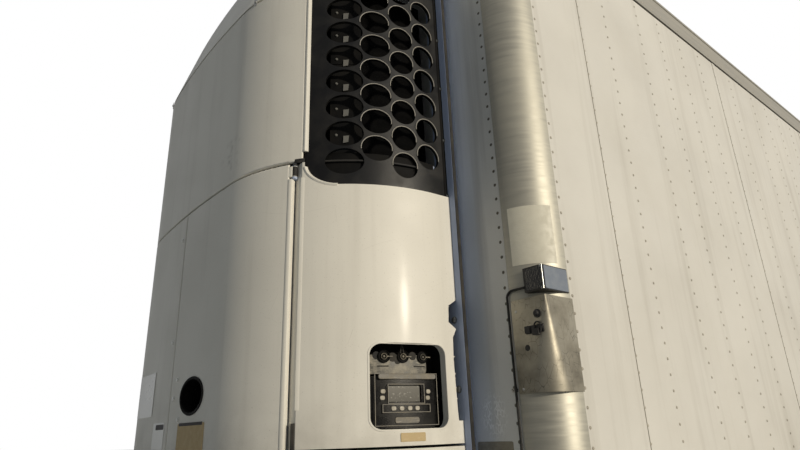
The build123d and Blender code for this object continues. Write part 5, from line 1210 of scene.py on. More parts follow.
@makes("door_return_{side}", "shell_white", "unit_shell", "{side}_unit_door")
def door_return(shape, side):
    """The front door's edge, folded back into the hinge groove between the knuckles."""
    edge_sweep(shape, side, 1.724, 2.691, 0.598, DOOR_RETURN)


@makes("panel_return_{side}", "shell_white", "unit_shell")
def panel_return(shape, side):
    """The side panel's edge along the hinge groove."""
    edge_sweep(shape, side, 1.900, 2.691, 0.574, PANEL_RETURN)


@makes("knuckle_sleeve_{side}", "black_rubber", "black_plastic", "{side}_unit_door")
def knuckle_sleeve(shape, side):
    """A dark sleeve round each knuckle of a front door."""
    at = Matrix.Translation((FRONT - HINGE_DEPTH, side * HINGE_Y, 0))
    for low, high in ((1.675, 1.713), (2.702, 2.740)):
        shape.lathe([(0.0088, low), (0.0097, low + 0.001), (0.0097, high - 0.001), (0.0088, high)], 24, at)


@makes("groove_rubber_{side}", "black_rubber", "black_plastic")
def groove_rubber(shape, side):
    """Black rubber over the foot of the hinge groove, and a cap over its top knuckle."""
    for low, high, depth, share in (
        (1.752, 1.862, 0.5795, 0.75),
        (MID_SEAM - 0.003, MID_SEAM + 0.012, 0.582, 2.0),
    ):
        edge_sweep(shape, side, low, high, depth, [(across * share, up) for across, up in GROOVE_FOOT])
    cap = [(0.0090, 2.7425), (0.0097, 2.7430), (0.0097, 2.7492), (0.0, 2.7495)]
    shape.lathe(cap, 24, Matrix.Translation((FRONT - HINGE_DEPTH, side * HINGE_Y, 0)))


@makes("exhaust_collar", "tray_plastic", "black_plastic", "left_unit_door")
def exhaust_collar(shape):
    """The rubber collar in the exhaust's opening."""
    y, z, half_width, half_height = EXHAUST
    lip = [(-0.046, -0.005), (0.002, -0.005), (0.0035, -0.001)]
    lip += [(0.0035, 0.004), (0.001, 0.0055), (-0.002, 0.004)]
    shape.sweep(*oval_path(skin_frame(-1, z, y=y), half_width, half_height, steps=40), lip, True)


@makes("exhaust_duct", "tray_plastic", "black_plastic", "left_unit_door")
def exhaust_duct(shape):
    """The ribbed end of the duct inside the collar."""
    y, z, half_width, half_height = EXHAUST
    rib = [(-0.006, -0.004), (0.006, -0.004), (0.0035, 0.003), (-0.0035, 0.003)]
    for i in range(9):
        at = skin_frame(-1, z, y=y) @ Matrix.Translation((0.004, 0, -0.048 - 0.012 * i))
        shape.sweep(*oval_path(at, half_width - 0.012, half_height - 0.006, steps=32), rib, True)


@makes("frame_trim", "frame_edge_painted_sky_shade", "side_skin")
def frame_trim(shape):
    """The painted edging over the outer edge of the unit's mounting flange. Its blue-grey is painted shade,
    lit blue by the sky.
    """
    section = [(-0.0050, 0.0120), (0.0050, 0.0120), (0.0060, 0.0110), (0.0060, -0.013), (0.0045, -0.013)]
    section += [(0.0045, -0.001), (-0.0045, -0.001), (-0.0045, -0.013), (-0.0060, -0.013), (-0.0060, 0.0110)]
    length = FRAME_TOP - FRAME_LOW - 0.008
    for side in BOTH:
        path = [(FRONT - 0.064, side * FRAME_EDGE, FRAME_LOW + 0.004 + length * i / 8) for i in range(9)]
        shape.sweep(path, [(0, side, 0)] * 9, section)


@makes("frame_seal", "black_rubber", "black_plastic")
def frame_seal(shape):
    """A black bead along the outside of the flange's edging: a painted shadow of the gap between the flange
    and the front wall.
    """
    for side in BOTH:
        reach = (FRAME_EDGE + 0.0115, FRAME_EDGE + 0.0140)
        shape.slab(side, (FRONT - 0.0692, FRONT - 0.0540), reach, (FRAME_LOW + 0.004, FRAME_TOP - 0.004))


@makes("hood_catches", "bright_metal", "bare_aluminium")
def hood_catches(shape):
    """Small bright catches that hold the hood down over its seam."""
    for side in BOTH:
        at = skin_frame(side, HOOD_SEAM + 0.004, y=side * 0.508)
        shape.plate(0.020, 0.034, 0.003, 0.004, at)
        shape.lathe([(0.0060, 0.003), (0.0060, 0.0062), (0.0045, 0.0072), (0, 0.0072)], 12, at)


@makes("unit_flange_bolts", "galvanised", "galvanised")
def unit_flange_bolts(shape):
    """Bolts down the unit's mounting flange."""
    for side in BOTH:
        for i in range(10):
            z = FRAME_LOW + 0.08 + i * (FRAME_TOP - FRAME_LOW - 0.16) / 9
            y = side * (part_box("unit_frame")[1].y - 0.030)
            shape.bolt((FRONT - 0.068, y, z), AHEAD, 0.010, 0.008)


@makes("torn_fibres", "white_label", "unit_shell")
def torn_fibres(shape):
    """Ragged slivers of laminate along the torn edge of the roadside panel."""
    chance = random.Random(7)
    # Height and depth of each bend of the torn edge
    edge = ((2.238, 0.106), (2.180, 0.110), (2.158, 0.077), (2.128, 0.094))
    edge += ((2.050, 0.097), (1.985, 0.095), (1.888, 0.092))
    for (z0, d0), (z1, d1) in zip(edge, edge[1:]):
        count = max(2, int(abs(z0 - z1) / 0.008))
        for i in range(count):
            share = (i + chance.random()) / count
            (x, y), out = skin(-1, depth=d0 + (d1 - d0) * share, inset=chance.uniform(0.002, 0.024))
            reach = chance.uniform(0.004, 0.013)
            width = chance.uniform(0.003, 0.009)
            drop = chance.uniform(-0.004, 0.004)
            root = Vector((x, y, z0 + (z1 - z0) * share))
            tip = root + Vector((reach, chance.uniform(-0.003, 0.003), drop))
            up = Vector((0, 0, width / 2))
            thick = Vector((*out, 0)) * 0.0008
            corners = (root - up, root + up, tip)
            shape.prism([corner - thick for corner in corners], [corner + thick for corner in corners])


ENGINE_LOW, ENGINE_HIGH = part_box("engine_block")
PULLEYS = (
    # y, z, radius, the belt's first and last angle on it
    (-0.20, 2.10, 0.085, 70, 250),
    (0.02, 1.90, 0.065, 220, 330),
    (0.17, 2.16, 0.055, -40, 85),
)


@makes("engine_castings", "cast_iron", "cast_iron", bevel=0.004, steps=2)
def engine_castings(shape):
    """The engine's top cover with its caps, and ribs down the front."""
    low, high = ENGINE_LOW, ENGINE_HIGH
    shape.box((low.x + 0.05, low.y + 0.10, high.z), (high.x - 0.05, high.y - 0.10, high.z + 0.035))
    for i in range(6):
        y = low.y + 0.16 + i * 0.095
        shape.bar((low.x + 0.10, y, high.z + 0.030), (low.x + 0.10, y, high.z + 0.046), 0.016, 16)
    for i in range(9):
        z = low.z + 0.06 + i * 0.07
        shape.box((low.x - 0.012, low.y + 0.03, z), (low.x + 0.004, high.y - 0.03, z + 0.014))


@makes("engine_pulleys", "chassis_black", "cast_iron")
def engine_pulleys(shape):
    """Grooved pulleys on the engine's front, and a filter beside them."""
    x = ENGINE_LOW.x
    for y, z, radius, _, _ in PULLEYS:
        rim = [(radius, 0), (radius, 0.010), (radius * 0.88, 0.014), (radius, 0.018), (radius, 0.030)]
        shape.lathe(rim + [(0.02, 0.024), (0, 0.03)], 32, facing((x - 0.012, y, z), AHEAD))
    shape.bar((x - 0.005, 0.30, 1.80), (x - 0.005, 0.30, 2.00), 0.045, 24)


@makes("engine_hoses", "black_rubber", "black_plastic")
def engine_hoses(shape):
    """The belt over the pulleys, and a hose down each side."""
    x = ENGINE_LOW.x
    belt = []
    for y, z, radius, start, end in PULLEYS:
        for i in range(10):
            angle = math.radians(start + (end - start) * i / 9)
            belt.append((x - 0.030, y + radius * math.cos(angle), z + radius * math.sin(angle)))
    shape.sweep(belt, [AHEAD] * len(belt), strip(0.010, -0.003, 0.005), True)
    for points in (
        [(-0.35, 2.30), (-0.42, 2.25), (-0.46, 2.10), (-0.46, 1.90), (-0.42, 1.76)],
        [(0.36, 2.34), (0.44, 2.30), (0.48, 2.15), (0.49, 1.95), (0.46, 1.78)],
    ):
        shape.hose([(x + 0.12, y, z) for y, z in points], 0.018, 10)


# Wheels and suspension


HUB_Z = (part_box("tyres_front_left")[0].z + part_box("tyres_front_left")[1].z) / 2
AXLES = [
    (place, sum(corner.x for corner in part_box(f"tyres_{place}_left")) / 2) for place in ("front", "rear")
]
AXLE_SIDES = [(x, side) for _, x in AXLES for side in BOTH]
OUTER_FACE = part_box("tyres_front_right")[1].y
TYRE_WIDTH = 0.292
DUAL_SPACING = 0.330
OUTER_TYRE = OUTER_FACE - TYRE_WIDTH / 2
INNER_TYRE = OUTER_TYRE - DUAL_SPACING
DISC_FACE = (OUTER_TYRE + INNER_TYRE) / 2 + 0.012
CAP_FACE = OUTER_FACE - 0.105
STUD_CIRCLE = 0.142
FRAME_RAIL_Y = 0.530
# Every side face of the tyres on one hub: the tyre's middle and the way out from it
SIDEWALLS = [(centre, way) for centre in (OUTER_TYRE, INNER_TYRE) for way in BOTH]


@makes("tyre_lugs_{place}_{side}", "tyre_rubber", "tyre_rubber", "{place}_{side}_wheels")
def tyre_lugs(shape, at):
    """Blocks round both shoulders of the two tyres."""
    section = ((0.080, 0.496), (0.080, 0.5040), (0.117, 0.4990), (0.1285, 0.4800), (0.118, 0.4740))
    half = math.radians(1.75)
    for centre, way in SIDEWALLS:
        for i in range(72):
            middle = 2 * math.pi * (i + (0.5 if way > 0 else 0)) / 72
            ends = []
            for angle in (middle - half, middle + half):
                x, y = math.cos(angle), math.sin(angle)
                ends.append([(reach * x, reach * y, centre + way * aside) for aside, reach in section])
            shape.prism(*ends, at)


@makes("tyre_rings_{place}_{side}", "tyre_rubber", "tyre_rubber", "{place}_{side}_wheels")
def tyre_rings(shape, at):
    """Raised rings moulded on the sidewalls."""
    ridge = [(-0.004, -0.002), (-0.0018, 0.0028), (0.0018, 0.0028), (0.004, -0.002)]
    for centre, way in SIDEWALLS:
        for radius, offset in ((0.322, 0.121), (0.345, 0.1375), (0.452, 0.1335)):
            shape.lathe([(radius + r, centre + way * (offset + h)) for r, h in ridge], 72, at)


@makes("wheel_nuts_{place}_{side}", "galvanised", "galvanised", "{place}_{side}_wheels")
def wheel_nuts(shape, at):
    """Flanged nuts on the studs, the oil cap's bolts, and the valve stem."""
    for x, y, _ in around(STUD_CIRCLE, 10):
        nut = at @ Matrix.Translation((x, y, DISC_FACE))
        shape.lathe([(0.0250, 0), (0.0250, 0.003), (0.0210, 0.006)], 20, nut)
        shape.lathe([(0.0205, 0.004), (0.0205, 0.029), (0.0185, 0.032), (0.0120, 0.032)], 6, nut)
        shape.lathe([(0.0110, 0.030), (0.0110, 0.0405), (0.0095, 0.042), (0, 0.042)], 14, nut)
    for x, y, _ in around(0.0605, 6, 15):
        bolt = at @ Matrix.Translation((x, y, CAP_FACE))
        shape.lathe([(0.0065, 0), (0.0065, 0.0045), (0.0055, 0.0055), (0, 0.0055)], 6, bolt)
    rim = [(0.0470, 0.026), (0.0480, 0.0285), (0.0400, 0.0295), (0.0370, 0.027)]
    shape.lathe([(radius, CAP_FACE + height) for radius, height in rim], 36, at)
    shape.bar((0.262, 0, 1.062), (0.246, 0, 1.118), 0.0042, 10, at)
    shape.bar((0.2465, 0, 1.116), (0.2445, 0, 1.124), 0.0056, 10, at)


@makes("oil_window_{place}_{side}", "oil_glass", "amber_lens", "{place}_{side}_wheels")
def oil_window(shape, at):
    """The clear window of the hub's oil cap."""
    profile = [(0.0375, 0.0262), (0.0360, 0.0280), (0.0100, 0.0284), (0.0080, 0.0300), (0, 0.0302)]
    shape.lathe([(radius, CAP_FACE + height) for radius, height in profile], 32, at)


@makes("suspension_bolts", "galvanised", "galvanised")
def suspension_bolts(shape):
    """Nuts on the spring clamps, rebound clips round the leaves, and bolts through the hangers."""
    for x, side in AXLE_SIDES:
        y = side * FRAME_RAIL_Y
        for dx in (-0.0755, 0.0755):
            for dy in (-0.0463, 0.0463):
                shape.bolt((x + dx, y + dy, 0.4252), DOWN, 0.0135, 0.012)
                shape.bolt((x + dx, y + dy, 0.6525), UP, 0.0135, 0.012)
        for dx in (-0.250, 0.250):
            shape.box((x + dx - 0.015, y - 0.043, 0.6045), (x + dx + 0.015, y + 0.043, 0.6570))
    (_, first), (_, last) = AXLES
    for x in (first - 0.570, first + (last - first) / 2, last + 0.570):
        for side in BOTH:
            for dx in (-0.045, 0.045):
                for z in (0.845, 0.925):
                    for way in BOTH:
                        y = side * (FRAME_RAIL_Y + way * 0.038)
                        shape.bolt((x + dx, y, z), (0, way * side, 0), 0.013, 0.010)


@makes("radius_rods", "chassis_black", "frame_black", bevel=0.001)
def radius_rods(shape):
    """Rods with bushed ends that hold each axle square to the hangers."""
    for x, side in AXLE_SIDES:
        y = side * (FRAME_RAIL_Y - 0.080)
        start, end = Vector((x - 0.520, y, 0.800)), Vector((x - 0.030, y, 0.560))
        shape.bar(start, end, 0.017, 14)
        for point in (start, end):
            for half, radius, segments in ((0.036, 0.034, 20), (0.046, 0.012, 6)):
                reach = Vector((0, half, 0))
                shape.bar(point - reach, point + reach, radius, segments)


@makes("brake_parts", "chassis_black", "frame_black", bevel=0.002)
def brake_parts(shape):
    """Clamp bands on the brake chambers, push rods, slack adjusters and camshafts."""
    for axle, side in AXLE_SIDES:
        x, z = axle + 0.150, HUB_Z + 0.040
        at = facing((x, 0, z), (0, side, 0))
        shape.lathe([(0.0745, 0.272), (0.0815, 0.274), (0.0815, 0.292), (0.0745, 0.294)], 36, at)
        shape.lathe([(0.066, 0.3595), (0.060, 0.366), (0.014, 0.368), (0, 0.368)], 32, at)
        for dz in (-0.083, 0.083):
            shape.bolt((x, side * 0.292, z + dz), (0, side, 0), 0.010, 0.016)
        shape.bar((x, side * 0.366, z), (x, side * 0.430, z), 0.009, 12)
        arm = (0.412, 0.436)
        shape.slab(side, (axle + 0.085, axle + 0.165), arm, (HUB_Z - 0.115, HUB_Z - 0.070))
        shape.slab(side, (axle + 0.132, axle + 0.168), arm, (HUB_Z - 0.075, z + 0.014))
        x, z = axle + 0.105, HUB_Z - 0.092
        shape.bar((x, side * 0.405, z), (x, side * 0.655, z), 0.019, 16)


@makes("brake_hoses", "black_rubber", "black_plastic")
def brake_hoses(shape):
    """Rubber air hoses from the bogie frame down to each chamber."""
    run = (
        # distance behind the axle, share of y, height over the hub
        (0.150, 1, 0.105),
        (0.160, 1, 0.170),
        (0.235, 1, 0.260),
        (0.290, 0.95, 0.360),
        (0.300, 0.9, 0.460),
    )
    for x, side in AXLE_SIDES:
        for aside in (-0.020, 0.022):
            y = side * (0.245 + aside)
            path = [Vector((x + dx + aside, y * share, HUB_Z + dz)) for dx, share, dz in run]
            shape.hose(rounded_path(path), 0.0085, 8)


def rounded_path(points, steps=4):
    """The points joined by a smooth curve that passes through each one."""
    ends = [points[0] * 2 - points[1], *points, points[-1] * 2 - points[-2]]
    path = []
    for a, b, c, d in zip(ends, ends[1:], ends[2:], ends[3:]):
        square, cube = 2 * a - 5 * b + 4 * c - d, 3 * b - a - 3 * c + d
        for t in (step / steps for step in range(steps)):
            path.append(0.5 * (2 * b + (c - a) * t + square * t**2 + cube * t**3))
    return path + [points[-1]]


@makes("lock_pins", "galvanised", "galvanised")
def lock_pins(shape):
    """Pins of the sliding tandem in the holes of the slide rails, and their pull bar."""
    low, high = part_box("bogie_frame")
    for side in BOTH:
        for x in (low.x + 0.296, high.x - 0.354):
            at = facing((x, side * (FRAME_RAIL_Y + 0.032), 1.1255), (0, side, 0))
            shape.lathe([(0.0185, 0), (0.0185, 0.020), (0.0155, 0.024), (0, 0.024)], 20, at)
            shape.bar((x, side * 0.40, 0.94), (x, side * 0.49, 0.94), 0.011, 10)
        shape.bar((low.x + 0.28, side * 0.40, 0.94), (high.x - 0.34, side * 0.40, 0.94), 0.011, 12)


# Underside


@makes("running_lines", "black_rubber", "black_plastic")
def running_lines(shape):
    """Air and electric lines clipped under the crossmembers, from the coupler to the air tanks."""
    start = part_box("coupler_plate")[1].x + 0.12
    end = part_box("slide_rails")[0].x - 0.05
    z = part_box("crossmembers")[0].z - 0.016
    count = int((end - start) / 0.203)
    for y, radius in ((0.495, 0.011), (0.470, 0.008), (-0.495, 0.011), (-0.470, 0.008)):
        path = [(start + (end - start) * i / count, y, z - 0.006 * (i % 2)) for i in range(count + 1)]
        inward = 0.26 if y > 0 else -0.26
        path += [(end + 0.06, y * 0.85 + inward * 0.15, z - 0.02), (end + 0.14, inward, z - 0.09)]
        shape.hose(path, radius, 8)


@makes("line_clips", "galvanised", "galvanised")
def line_clips(shape):
    """Clips that hold the lines to each crossmember."""
    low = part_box("crossmembers")[0].z
    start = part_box("coupler_plate")[1].x + 0.1
    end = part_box("slide_rails")[0].x - 0.1
    for i in range(int((end - start) / 0.406) + 1):
        x = start + i * 0.406
        for y in (-0.484, 0.484):
            shape.box((x - 0.011, y - 0.034, low - 0.0305), (x + 0.011, y + 0.034, low - 0.0275))
            for dy in (-0.034, 0.031):
                shape.box((x - 0.011, y + dy, low - 0.029), (x + 0.011, y + dy + 0.003, low))


@makes("coupler_details", "kingpin_steel", "kingpin_steel")
def coupler_details(shape):
    """Grease grooves round the kingpin and bolts along the bolster plate's edges."""
    low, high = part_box("coupler_plate")
    z = RAIL_LOW + 0.008
    kingpin_x = FRONT + 0.914
    for radius in (0.075, 0.125):
        profile = [(radius - 0.006, 0), (radius - 0.003, 0.003), (radius + 0.003, 0.003), (radius + 0.006, 0)]
        shape.lathe(profile, 48, facing((kingpin_x, 0, z), DOWN))
    for x, y, _ in around(0.165, 8, 22.5):
        shape.bolt((kingpin_x + x, y, z), DOWN, 0.012, 0.005)
    for i in range(11):
        x = low.x + 0.06 + i * (high.x - low.x - 0.12) / 10
        for y in (low.y + 0.04, high.y - 0.04):
            shape.dome((x, y, z), DOWN, 0.009, 0.004)


LEG_X = sum(corner.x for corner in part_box("landing_legs")) / 2
LEG_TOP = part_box("landing_legs")[1].z
LEG_Y = 0.620
GEARBOX_FACE = -(LEG_Y + 0.065 + 0.070)


@makes("landing_gear_bolts", "galvanised", "galvanised")
def landing_gear_bolts(shape):
    """Bolts through the legs' flanges, collars round the legs, and the gearbox's bolts."""
    for side in BOTH:
        y = side * LEG_Y
        for dx in (-0.200, -0.125, 0.125, 0.200):
            for z in (LEG_TOP - 0.030, LEG_TOP - 0.165):
                face = side * (LEG_Y - 0.065 - 0.012)
                shape.bolt((LEG_X + dx, face, z), (0, -side, 0), 0.013, 0.010)
        for z in (0.520, 0.560):
            for low, high in frame_bars((LEG_X - 0.071, y - 0.071), (LEG_X + 0.071, y + 0.071), 0.007):
                shape.box((*low, z), (*high, z + 0.014))
        for dx in (-0.045, 0.045):
            shape.bolt((LEG_X + dx, y + side * 0.0655, 0.610), (0, side, 0), 0.009, 0.006)
    for dx in (-0.055, 0, 0.055):
        for dz in (-0.066, 0.066):
            shape.bolt((LEG_X + dx, GEARBOX_FACE, 1.040 + dz), (0, -1, 0), 0.008, 0.006)


@makes("landing_gear_fittings", "black_plastic", "black_plastic")
def landing_gear_fittings(shape):
    """The gearbox's blank plate and the crank's sleeve."""
    shape.plate(0.048, 0.030, 0.0012, 0.003, upright((LEG_X + 0.036, GEARBOX_FACE, 1.060), (0, -1)))
    grip = 0.160 - HALF
    shape.bar((LEG_X, grip - 0.012, 0.790), (LEG_X, grip - 0.119, 0.790), 0.0155, 16)


TANK_LOW, TANK_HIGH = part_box("fuel_tank")
TANK_X = (TANK_LOW.x + TANK_HIGH.x) / 2
TANK_END = TANK_HIGH.y
TANK_Z = TANK_LOW.z + 0.286


@makes("tank_fittings", "galvanised", "galvanised")
def tank_fittings(shape):
    """Weld rings, strap bolts, drain cocks and unions on the tanks."""
    x, z = TANK_X, TANK_Z
    for y in (0.030 - TANK_END, TANK_END - 0.030):
        weld = [(0.2795, -0.008), (0.2825, -0.003), (0.2825, 0.003), (0.2795, 0.008)]
        shape.lathe(weld, 64, facing((x, y, z), (0, 1, 0)))
    for y in (-0.250, 0.250):
        for bolt_x in (x - 0.287, x + 0.287):
            shape.bar((bolt_x, y, z + 0.030), (bolt_x, y, z + 0.085), 0.008, 10)
            shape.bolt((bolt_x, y, z + 0.085), UP, 0.012, 0.010)
    shape.bar((x, 0.10, z - 0.278), (x, 0.10, z - 0.300), 0.014, 12)
    low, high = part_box("air_tanks")
    weld = [(0.1195, -0.006), (0.1225, -0.002), (0.1225, 0.002), (0.1195, 0.006)]
    strap = [(0.1198, -0.015), (0.1235, -0.014), (0.1235, 0.014), (0.1198, 0.015)]
    middle = (low.x + high.x) / 2
    for y in (-0.200, 0.200):
        for x, profile in (
            (low.x + 0.040, weld),
            (high.x - 0.040, weld),
            (low.x + 0.18, strap),
            (low.x + 0.42, strap),
        ):
            shape.lathe(profile, 48, facing((x, y, low.z + 0.120), BEHIND))
        shape.bar((middle, y, low.z + 0.004), (middle, y, low.z - 0.024), 0.010, 6)
        shape.bar((low.x + 0.12, y, low.z + 0.235), (low.x + 0.12, y, low.z + 0.262), 0.012, 6)


@makes("fuel_cap", "black_plastic", "black_plastic")
def fuel_cap(shape):
    """The grip of the fuel tank's filler cap."""
    out = Vector((1, 0, 1)).normalized()
    point = Vector((TANK_X, 0.068 - TANK_END, TANK_Z)) + out * (0.280 + 0.020 + 0.0005)
    grip = [(0.036, 0), (0.038, 0.004), (0.038, 0.016), (0.034, 0.020), (0, 0.020)]
    shape.lathe(grip, 12, facing(point, out))


MUDFLAP_X = AXLES[1][1] + 0.505 + 0.130


@makes("mudflap_fittings", "galvanised", "galvanised")
def mudflap_fittings(shape):
    """Stiffening strips and bolts along the mudflaps' tops."""
    for side in BOTH:
        shape.slab(side, (MUDFLAP_X + 0.006, MUDFLAP_X + 0.0095), (0.690, 1.262), (0.922, 0.962))
        for i in range(6):
            shape.bolt((MUDFLAP_X + 0.0095, side * (0.72 + i * 0.102), 0.942), BEHIND, 0.009, 0.007)


@makes("mudflap_ribs", "flap_rubber", "flap_rubber")
def mudflap_ribs(shape):
    """Moulded ribs down the mudflaps."""
    for side in BOTH:
        for i in range(16):
            y = side * (0.700 + i * 0.0365)
            shape.box((MUDFLAP_X - 0.0025, y - 0.004, 0.200), (MUDFLAP_X + 0.001, y + 0.004, 0.900))


CONNECTOR_X = FRONT - 0.006


@makes("connector_fittings", "galvanised", "galvanised")
def connector_fittings(shape):
    """Bolts, the socket's rim and hinge, and the couplings' latches on the nose."""
    x = CONNECTOR_X
    for y in (-0.405, -0.255, -0.085, 0.105):
        for z in (1.218, 1.312):
            shape.bolt((x, y, z), AHEAD, 0.007, 0.005)
    rim = [(0.0365, -0.006), (0.0395, -0.004), (0.0395, 0.0015), (0.034, 0.003), (0, 0.003)]
    shape.lathe(rim, 32, facing((x - 0.060, 0, 1.265), AHEAD))
    shape.bar((x - 0.058, -0.034, 1.305), (x - 0.058, 0.034, 1.305), 0.0045, 10)
    for y in (-0.340, -0.170):
        shape.box((x - 0.062, y - 0.016, 1.297), (x - 0.050, y + 0.016, 1.315))


@makes("connector_seals", "black_rubber", "black_plastic")
def connector_seals(shape):
    """The couplings' rubber seals."""
    for y in (-0.340, -0.170):
        at = facing((CONNECTOR_X - 0.066, y, 1.265), AHEAD)
        shape.lathe([(0.014, -0.001), (0.016, 0.003), (0.021, 0.003), (0.023, -0.001)], 28, at)


# Rear end


DOOR_INNER, DOOR_OUTER = 0.008, 1.1995
DOOR_LOW, DOOR_TOP = (corner.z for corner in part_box("rear_door_left"))
ROD_X = END + 0.028
# Each lock rod: its distance from the middle, its handle's way, the handle's height over the foot
RODS = ((0.330, 1, 0.420), (0.8795, -1, 0.500))
HINGE_HEIGHTS = [FLOOR_TOP + 0.180 + i * (WALL_TOP - FLOOR_TOP - 0.360) / 4 for i in range(5)]
GUIDE_HEIGHTS = [DOOR_LOW + 0.120 + i * (DOOR_TOP - DOOR_LOW - 0.240) / 4 for i in range(5)]
TAIL_LAMPS = [(side * y, 1.265) for side in BOTH for y in (0.640, 0.780, 0.920)]
PLATE_Y = -0.330


@makes("door_seal_{side}", "black_rubber", "black_plastic", "{side}_rear_door", 0.001)
def door_seal(shape, side):
    """A black rubber edge round the leaf."""
    for low, high in frame_bars(
        (DOOR_INNER + 0.001, DOOR_LOW + 0.001), (DOOR_OUTER - 0.001, DOOR_TOP - 0.001), 0.014
    ):
        shape.slab(side, (END - 0.001, END + 0.0025), (low[0], high[0]), (low[1], high[1]))


@makes("door_rivets_{side}", "stainless", "stainless", "{side}_rear_door")
def door_rivets(shape, side):
    """Rivets round the leaf's edge, and bolts through the hinge straps and lock guides."""
    inner, outer = DOOR_INNER + 0.032, DOOR_OUTER - 0.032
    low, high = DOOR_LOW + 0.035, DOOR_TOP - 0.035
    places = [(y, low + i * (high - low) / 30) for i in range(31) for y in (inner, outer)]
    places += [(inner + i * (outer - inner) / 15, z) for i in range(1, 15) for z in (low, high)]
    for y, z in places:
        shape.dome((END, side * y, z), BEHIND)
    for z in HINGE_HEIGHTS:
        for y in (0.975, 1.045, 1.115, 1.160):
            shape.bolt((END + 0.008, side * y, z), BEHIND, 0.0095, 0.007)
    for y, _, _ in RODS:
        for z in GUIDE_HEIGHTS:
            for dy in (-0.025, 0.025):
                for dz in (-0.016, 0.016):
                    shape.dome((END + 0.036, side * y + dy, z + dz), BEHIND, 0.006, 0.003)


@makes("door_fittings_{side}", "stainless", "stainless", "{side}_rear_door", 0.001)
def door_fittings(shape, side):
    """Handle hubs and collars on the locking bars, and the handles' catches."""
    for rod, way, rise in RODS:
        y, z = side * rod, DOOR_LOW + rise
        shape.bar((ROD_X, y, z - 0.040), (ROD_X, y, z + 0.040), 0.019, 20)
        for height in GUIDE_HEIGHTS:
            for dz in (-0.034, 0.030):
                shape.bar((ROD_X, y, height + dz), (ROD_X, y, height + dz + 0.004), 0.017, 18)
        catch = (rod + way * 0.120, rod + way * 0.155)
        shape.slab(side, (END - 0.001, END + 0.004), catch, (z - 0.050, z + 0.050))
        shape.slab(side, (END + 0.003, ROD_X + 0.016), catch, (z - 0.024, z - 0.018))
        for dz in (-0.040, 0.040):
            shape.bolt((END + 0.004, side * sum(catch) / 2, z + dz), BEHIND, 0.0065, 0.005)


@makes("door_grips_{side}", "black_plastic", "black_plastic", "{side}_rear_door", 0.003, 2)
def door_grips(shape, side):
    """The sleeves on the handles."""
    for rod, way, rise in RODS:
        z = DOOR_LOW + rise
        reach = (rod + way * 0.170, rod + way * 0.292)
        shape.slab(side, (ROD_X - 0.006, ROD_X + 0.0135), reach, (z - 0.0175, z + 0.0175))


@makes("kick_plate_{side}", "aluminium_plate", "bare_aluminium", "{side}_rear_door")
def kick_plate(shape, side):
    """A bare sheet that guards the foot of the leaf."""
    reach = (DOOR_INNER + 0.017, DOOR_OUTER - 0.017)
    shape.slab(side, (END - 0.001, END + 0.0014), reach, (DOOR_LOW + 0.018, DOOR_LOW + 0.300))


@makes("door_tape_{side}", "rear_tape", "red_lens", "{side}_rear_door")
def door_tape(shape, side):
    """Reflective tape across the leaf."""
    reach = (DOOR_INNER + 0.060, DOOR_OUTER - 0.060)
    shape.slab(side, (END, END + 0.0007), reach, (DOOR_LOW + 0.322, DOOR_LOW + 0.373))


@makes("rear_frame_rivets", "stainless", "stainless")
def rear_frame_rivets(shape):
    """Rivets up the posts and along the header, and the blank plate's holder."""
    places = [(side * 1.2215, FLOOR_TOP + 0.06 + i * 0.128) for side in BOTH for i in range(20)]
    places += [(i * 0.11 - 1.10, z) for i in range(21) for z in (ROOF_TOP - 0.030, FLOOR_TOP - 0.030)]
    for y, z in places:
        shape.dome((END, y, z), BEHIND, 0.007, 0.003)
    shape.plate(0.330, 0.175, 0.003, 0.012, upright((END, PLATE_Y, 1.262), BEHIND))
    for dy in (-0.13, 0.13):
        shape.bolt((END + 0.0045, PLATE_Y + dy, 1.322), BEHIND, 0.007, 0.005)
    shape.box((END - 0.001, PLATE_Y - 0.045, 1.356), (END + 0.032, PLATE_Y + 0.045, 1.378))


@makes("blank_plate", "white_label", "door_skin")
def blank_plate(shape):
    """A blank plate in its holder under the doors."""
    shape.plate(0.305, 0.152, 0.0012, 0.010, upright((END + 0.003, PLATE_Y, 1.257), BEHIND))


@makes("lamp_grommets", "black_rubber", "black_plastic")
def lamp_grommets(shape):
    """Rubber rings round the tail lamps and pads under the marker lamps."""
    grommet = [(0.0515, -0.001), (0.0515, 0.004), (0.057, 0.0065), (0.064, 0.0025), (0.065, -0.001)]
    for y, z in TAIL_LAMPS:
        shape.lathe(grommet, 40, facing((END, y, z), BEHIND))
    pads = [
        upright((x, side * HALF, 1.225), (0, side))
        for x in (FRONT + 0.400, (FRONT + END) / 2, END - 0.350)
        for side in BOTH
    ]
    pads += [upright((END, y, 4.0425), BEHIND) for y in (-1.0805, -0.150, 0, 0.150, 1.0805)]
    pads += [upright((FRONT, y, 4.0425), AHEAD) for y in (-1.0805, 1.0805)]
    for at in pads:
        shape.plate(0.116, 0.062, 0.0035, 0.008, at)


@makes("lamp_diodes", "red_lens", "red_lens")
def lamp_diodes(shape):
    """Small domes of the diodes in each tail lamp."""
    for y, z in TAIL_LAMPS:
        for dy, dz in ((0, 0), *ring(0.026, 6)):
            shape.dome((END + 0.008, y + dy, z + dz), BEHIND, 0.0085, 0.0022, 14)


@makes("guard_bolts", "galvanised", "galvanised")
def guard_bolts(shape):
    """Bolts in the guard's feet and in the dock bumpers."""
    for y in (-0.560, 0.560):
        for dy in (-0.022, 0.022):
            for z in (0.505, 0.555):
                shape.bolt((END - 0.030, y + dy, z), BEHIND, 0.010, 0.008)
    for side in BOTH:
        for z in (1.190, 1.290):
            shape.bolt((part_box("dock_bumpers")[1].x, side * 1.1605, z), BEHIND, 0.013, 0.008)


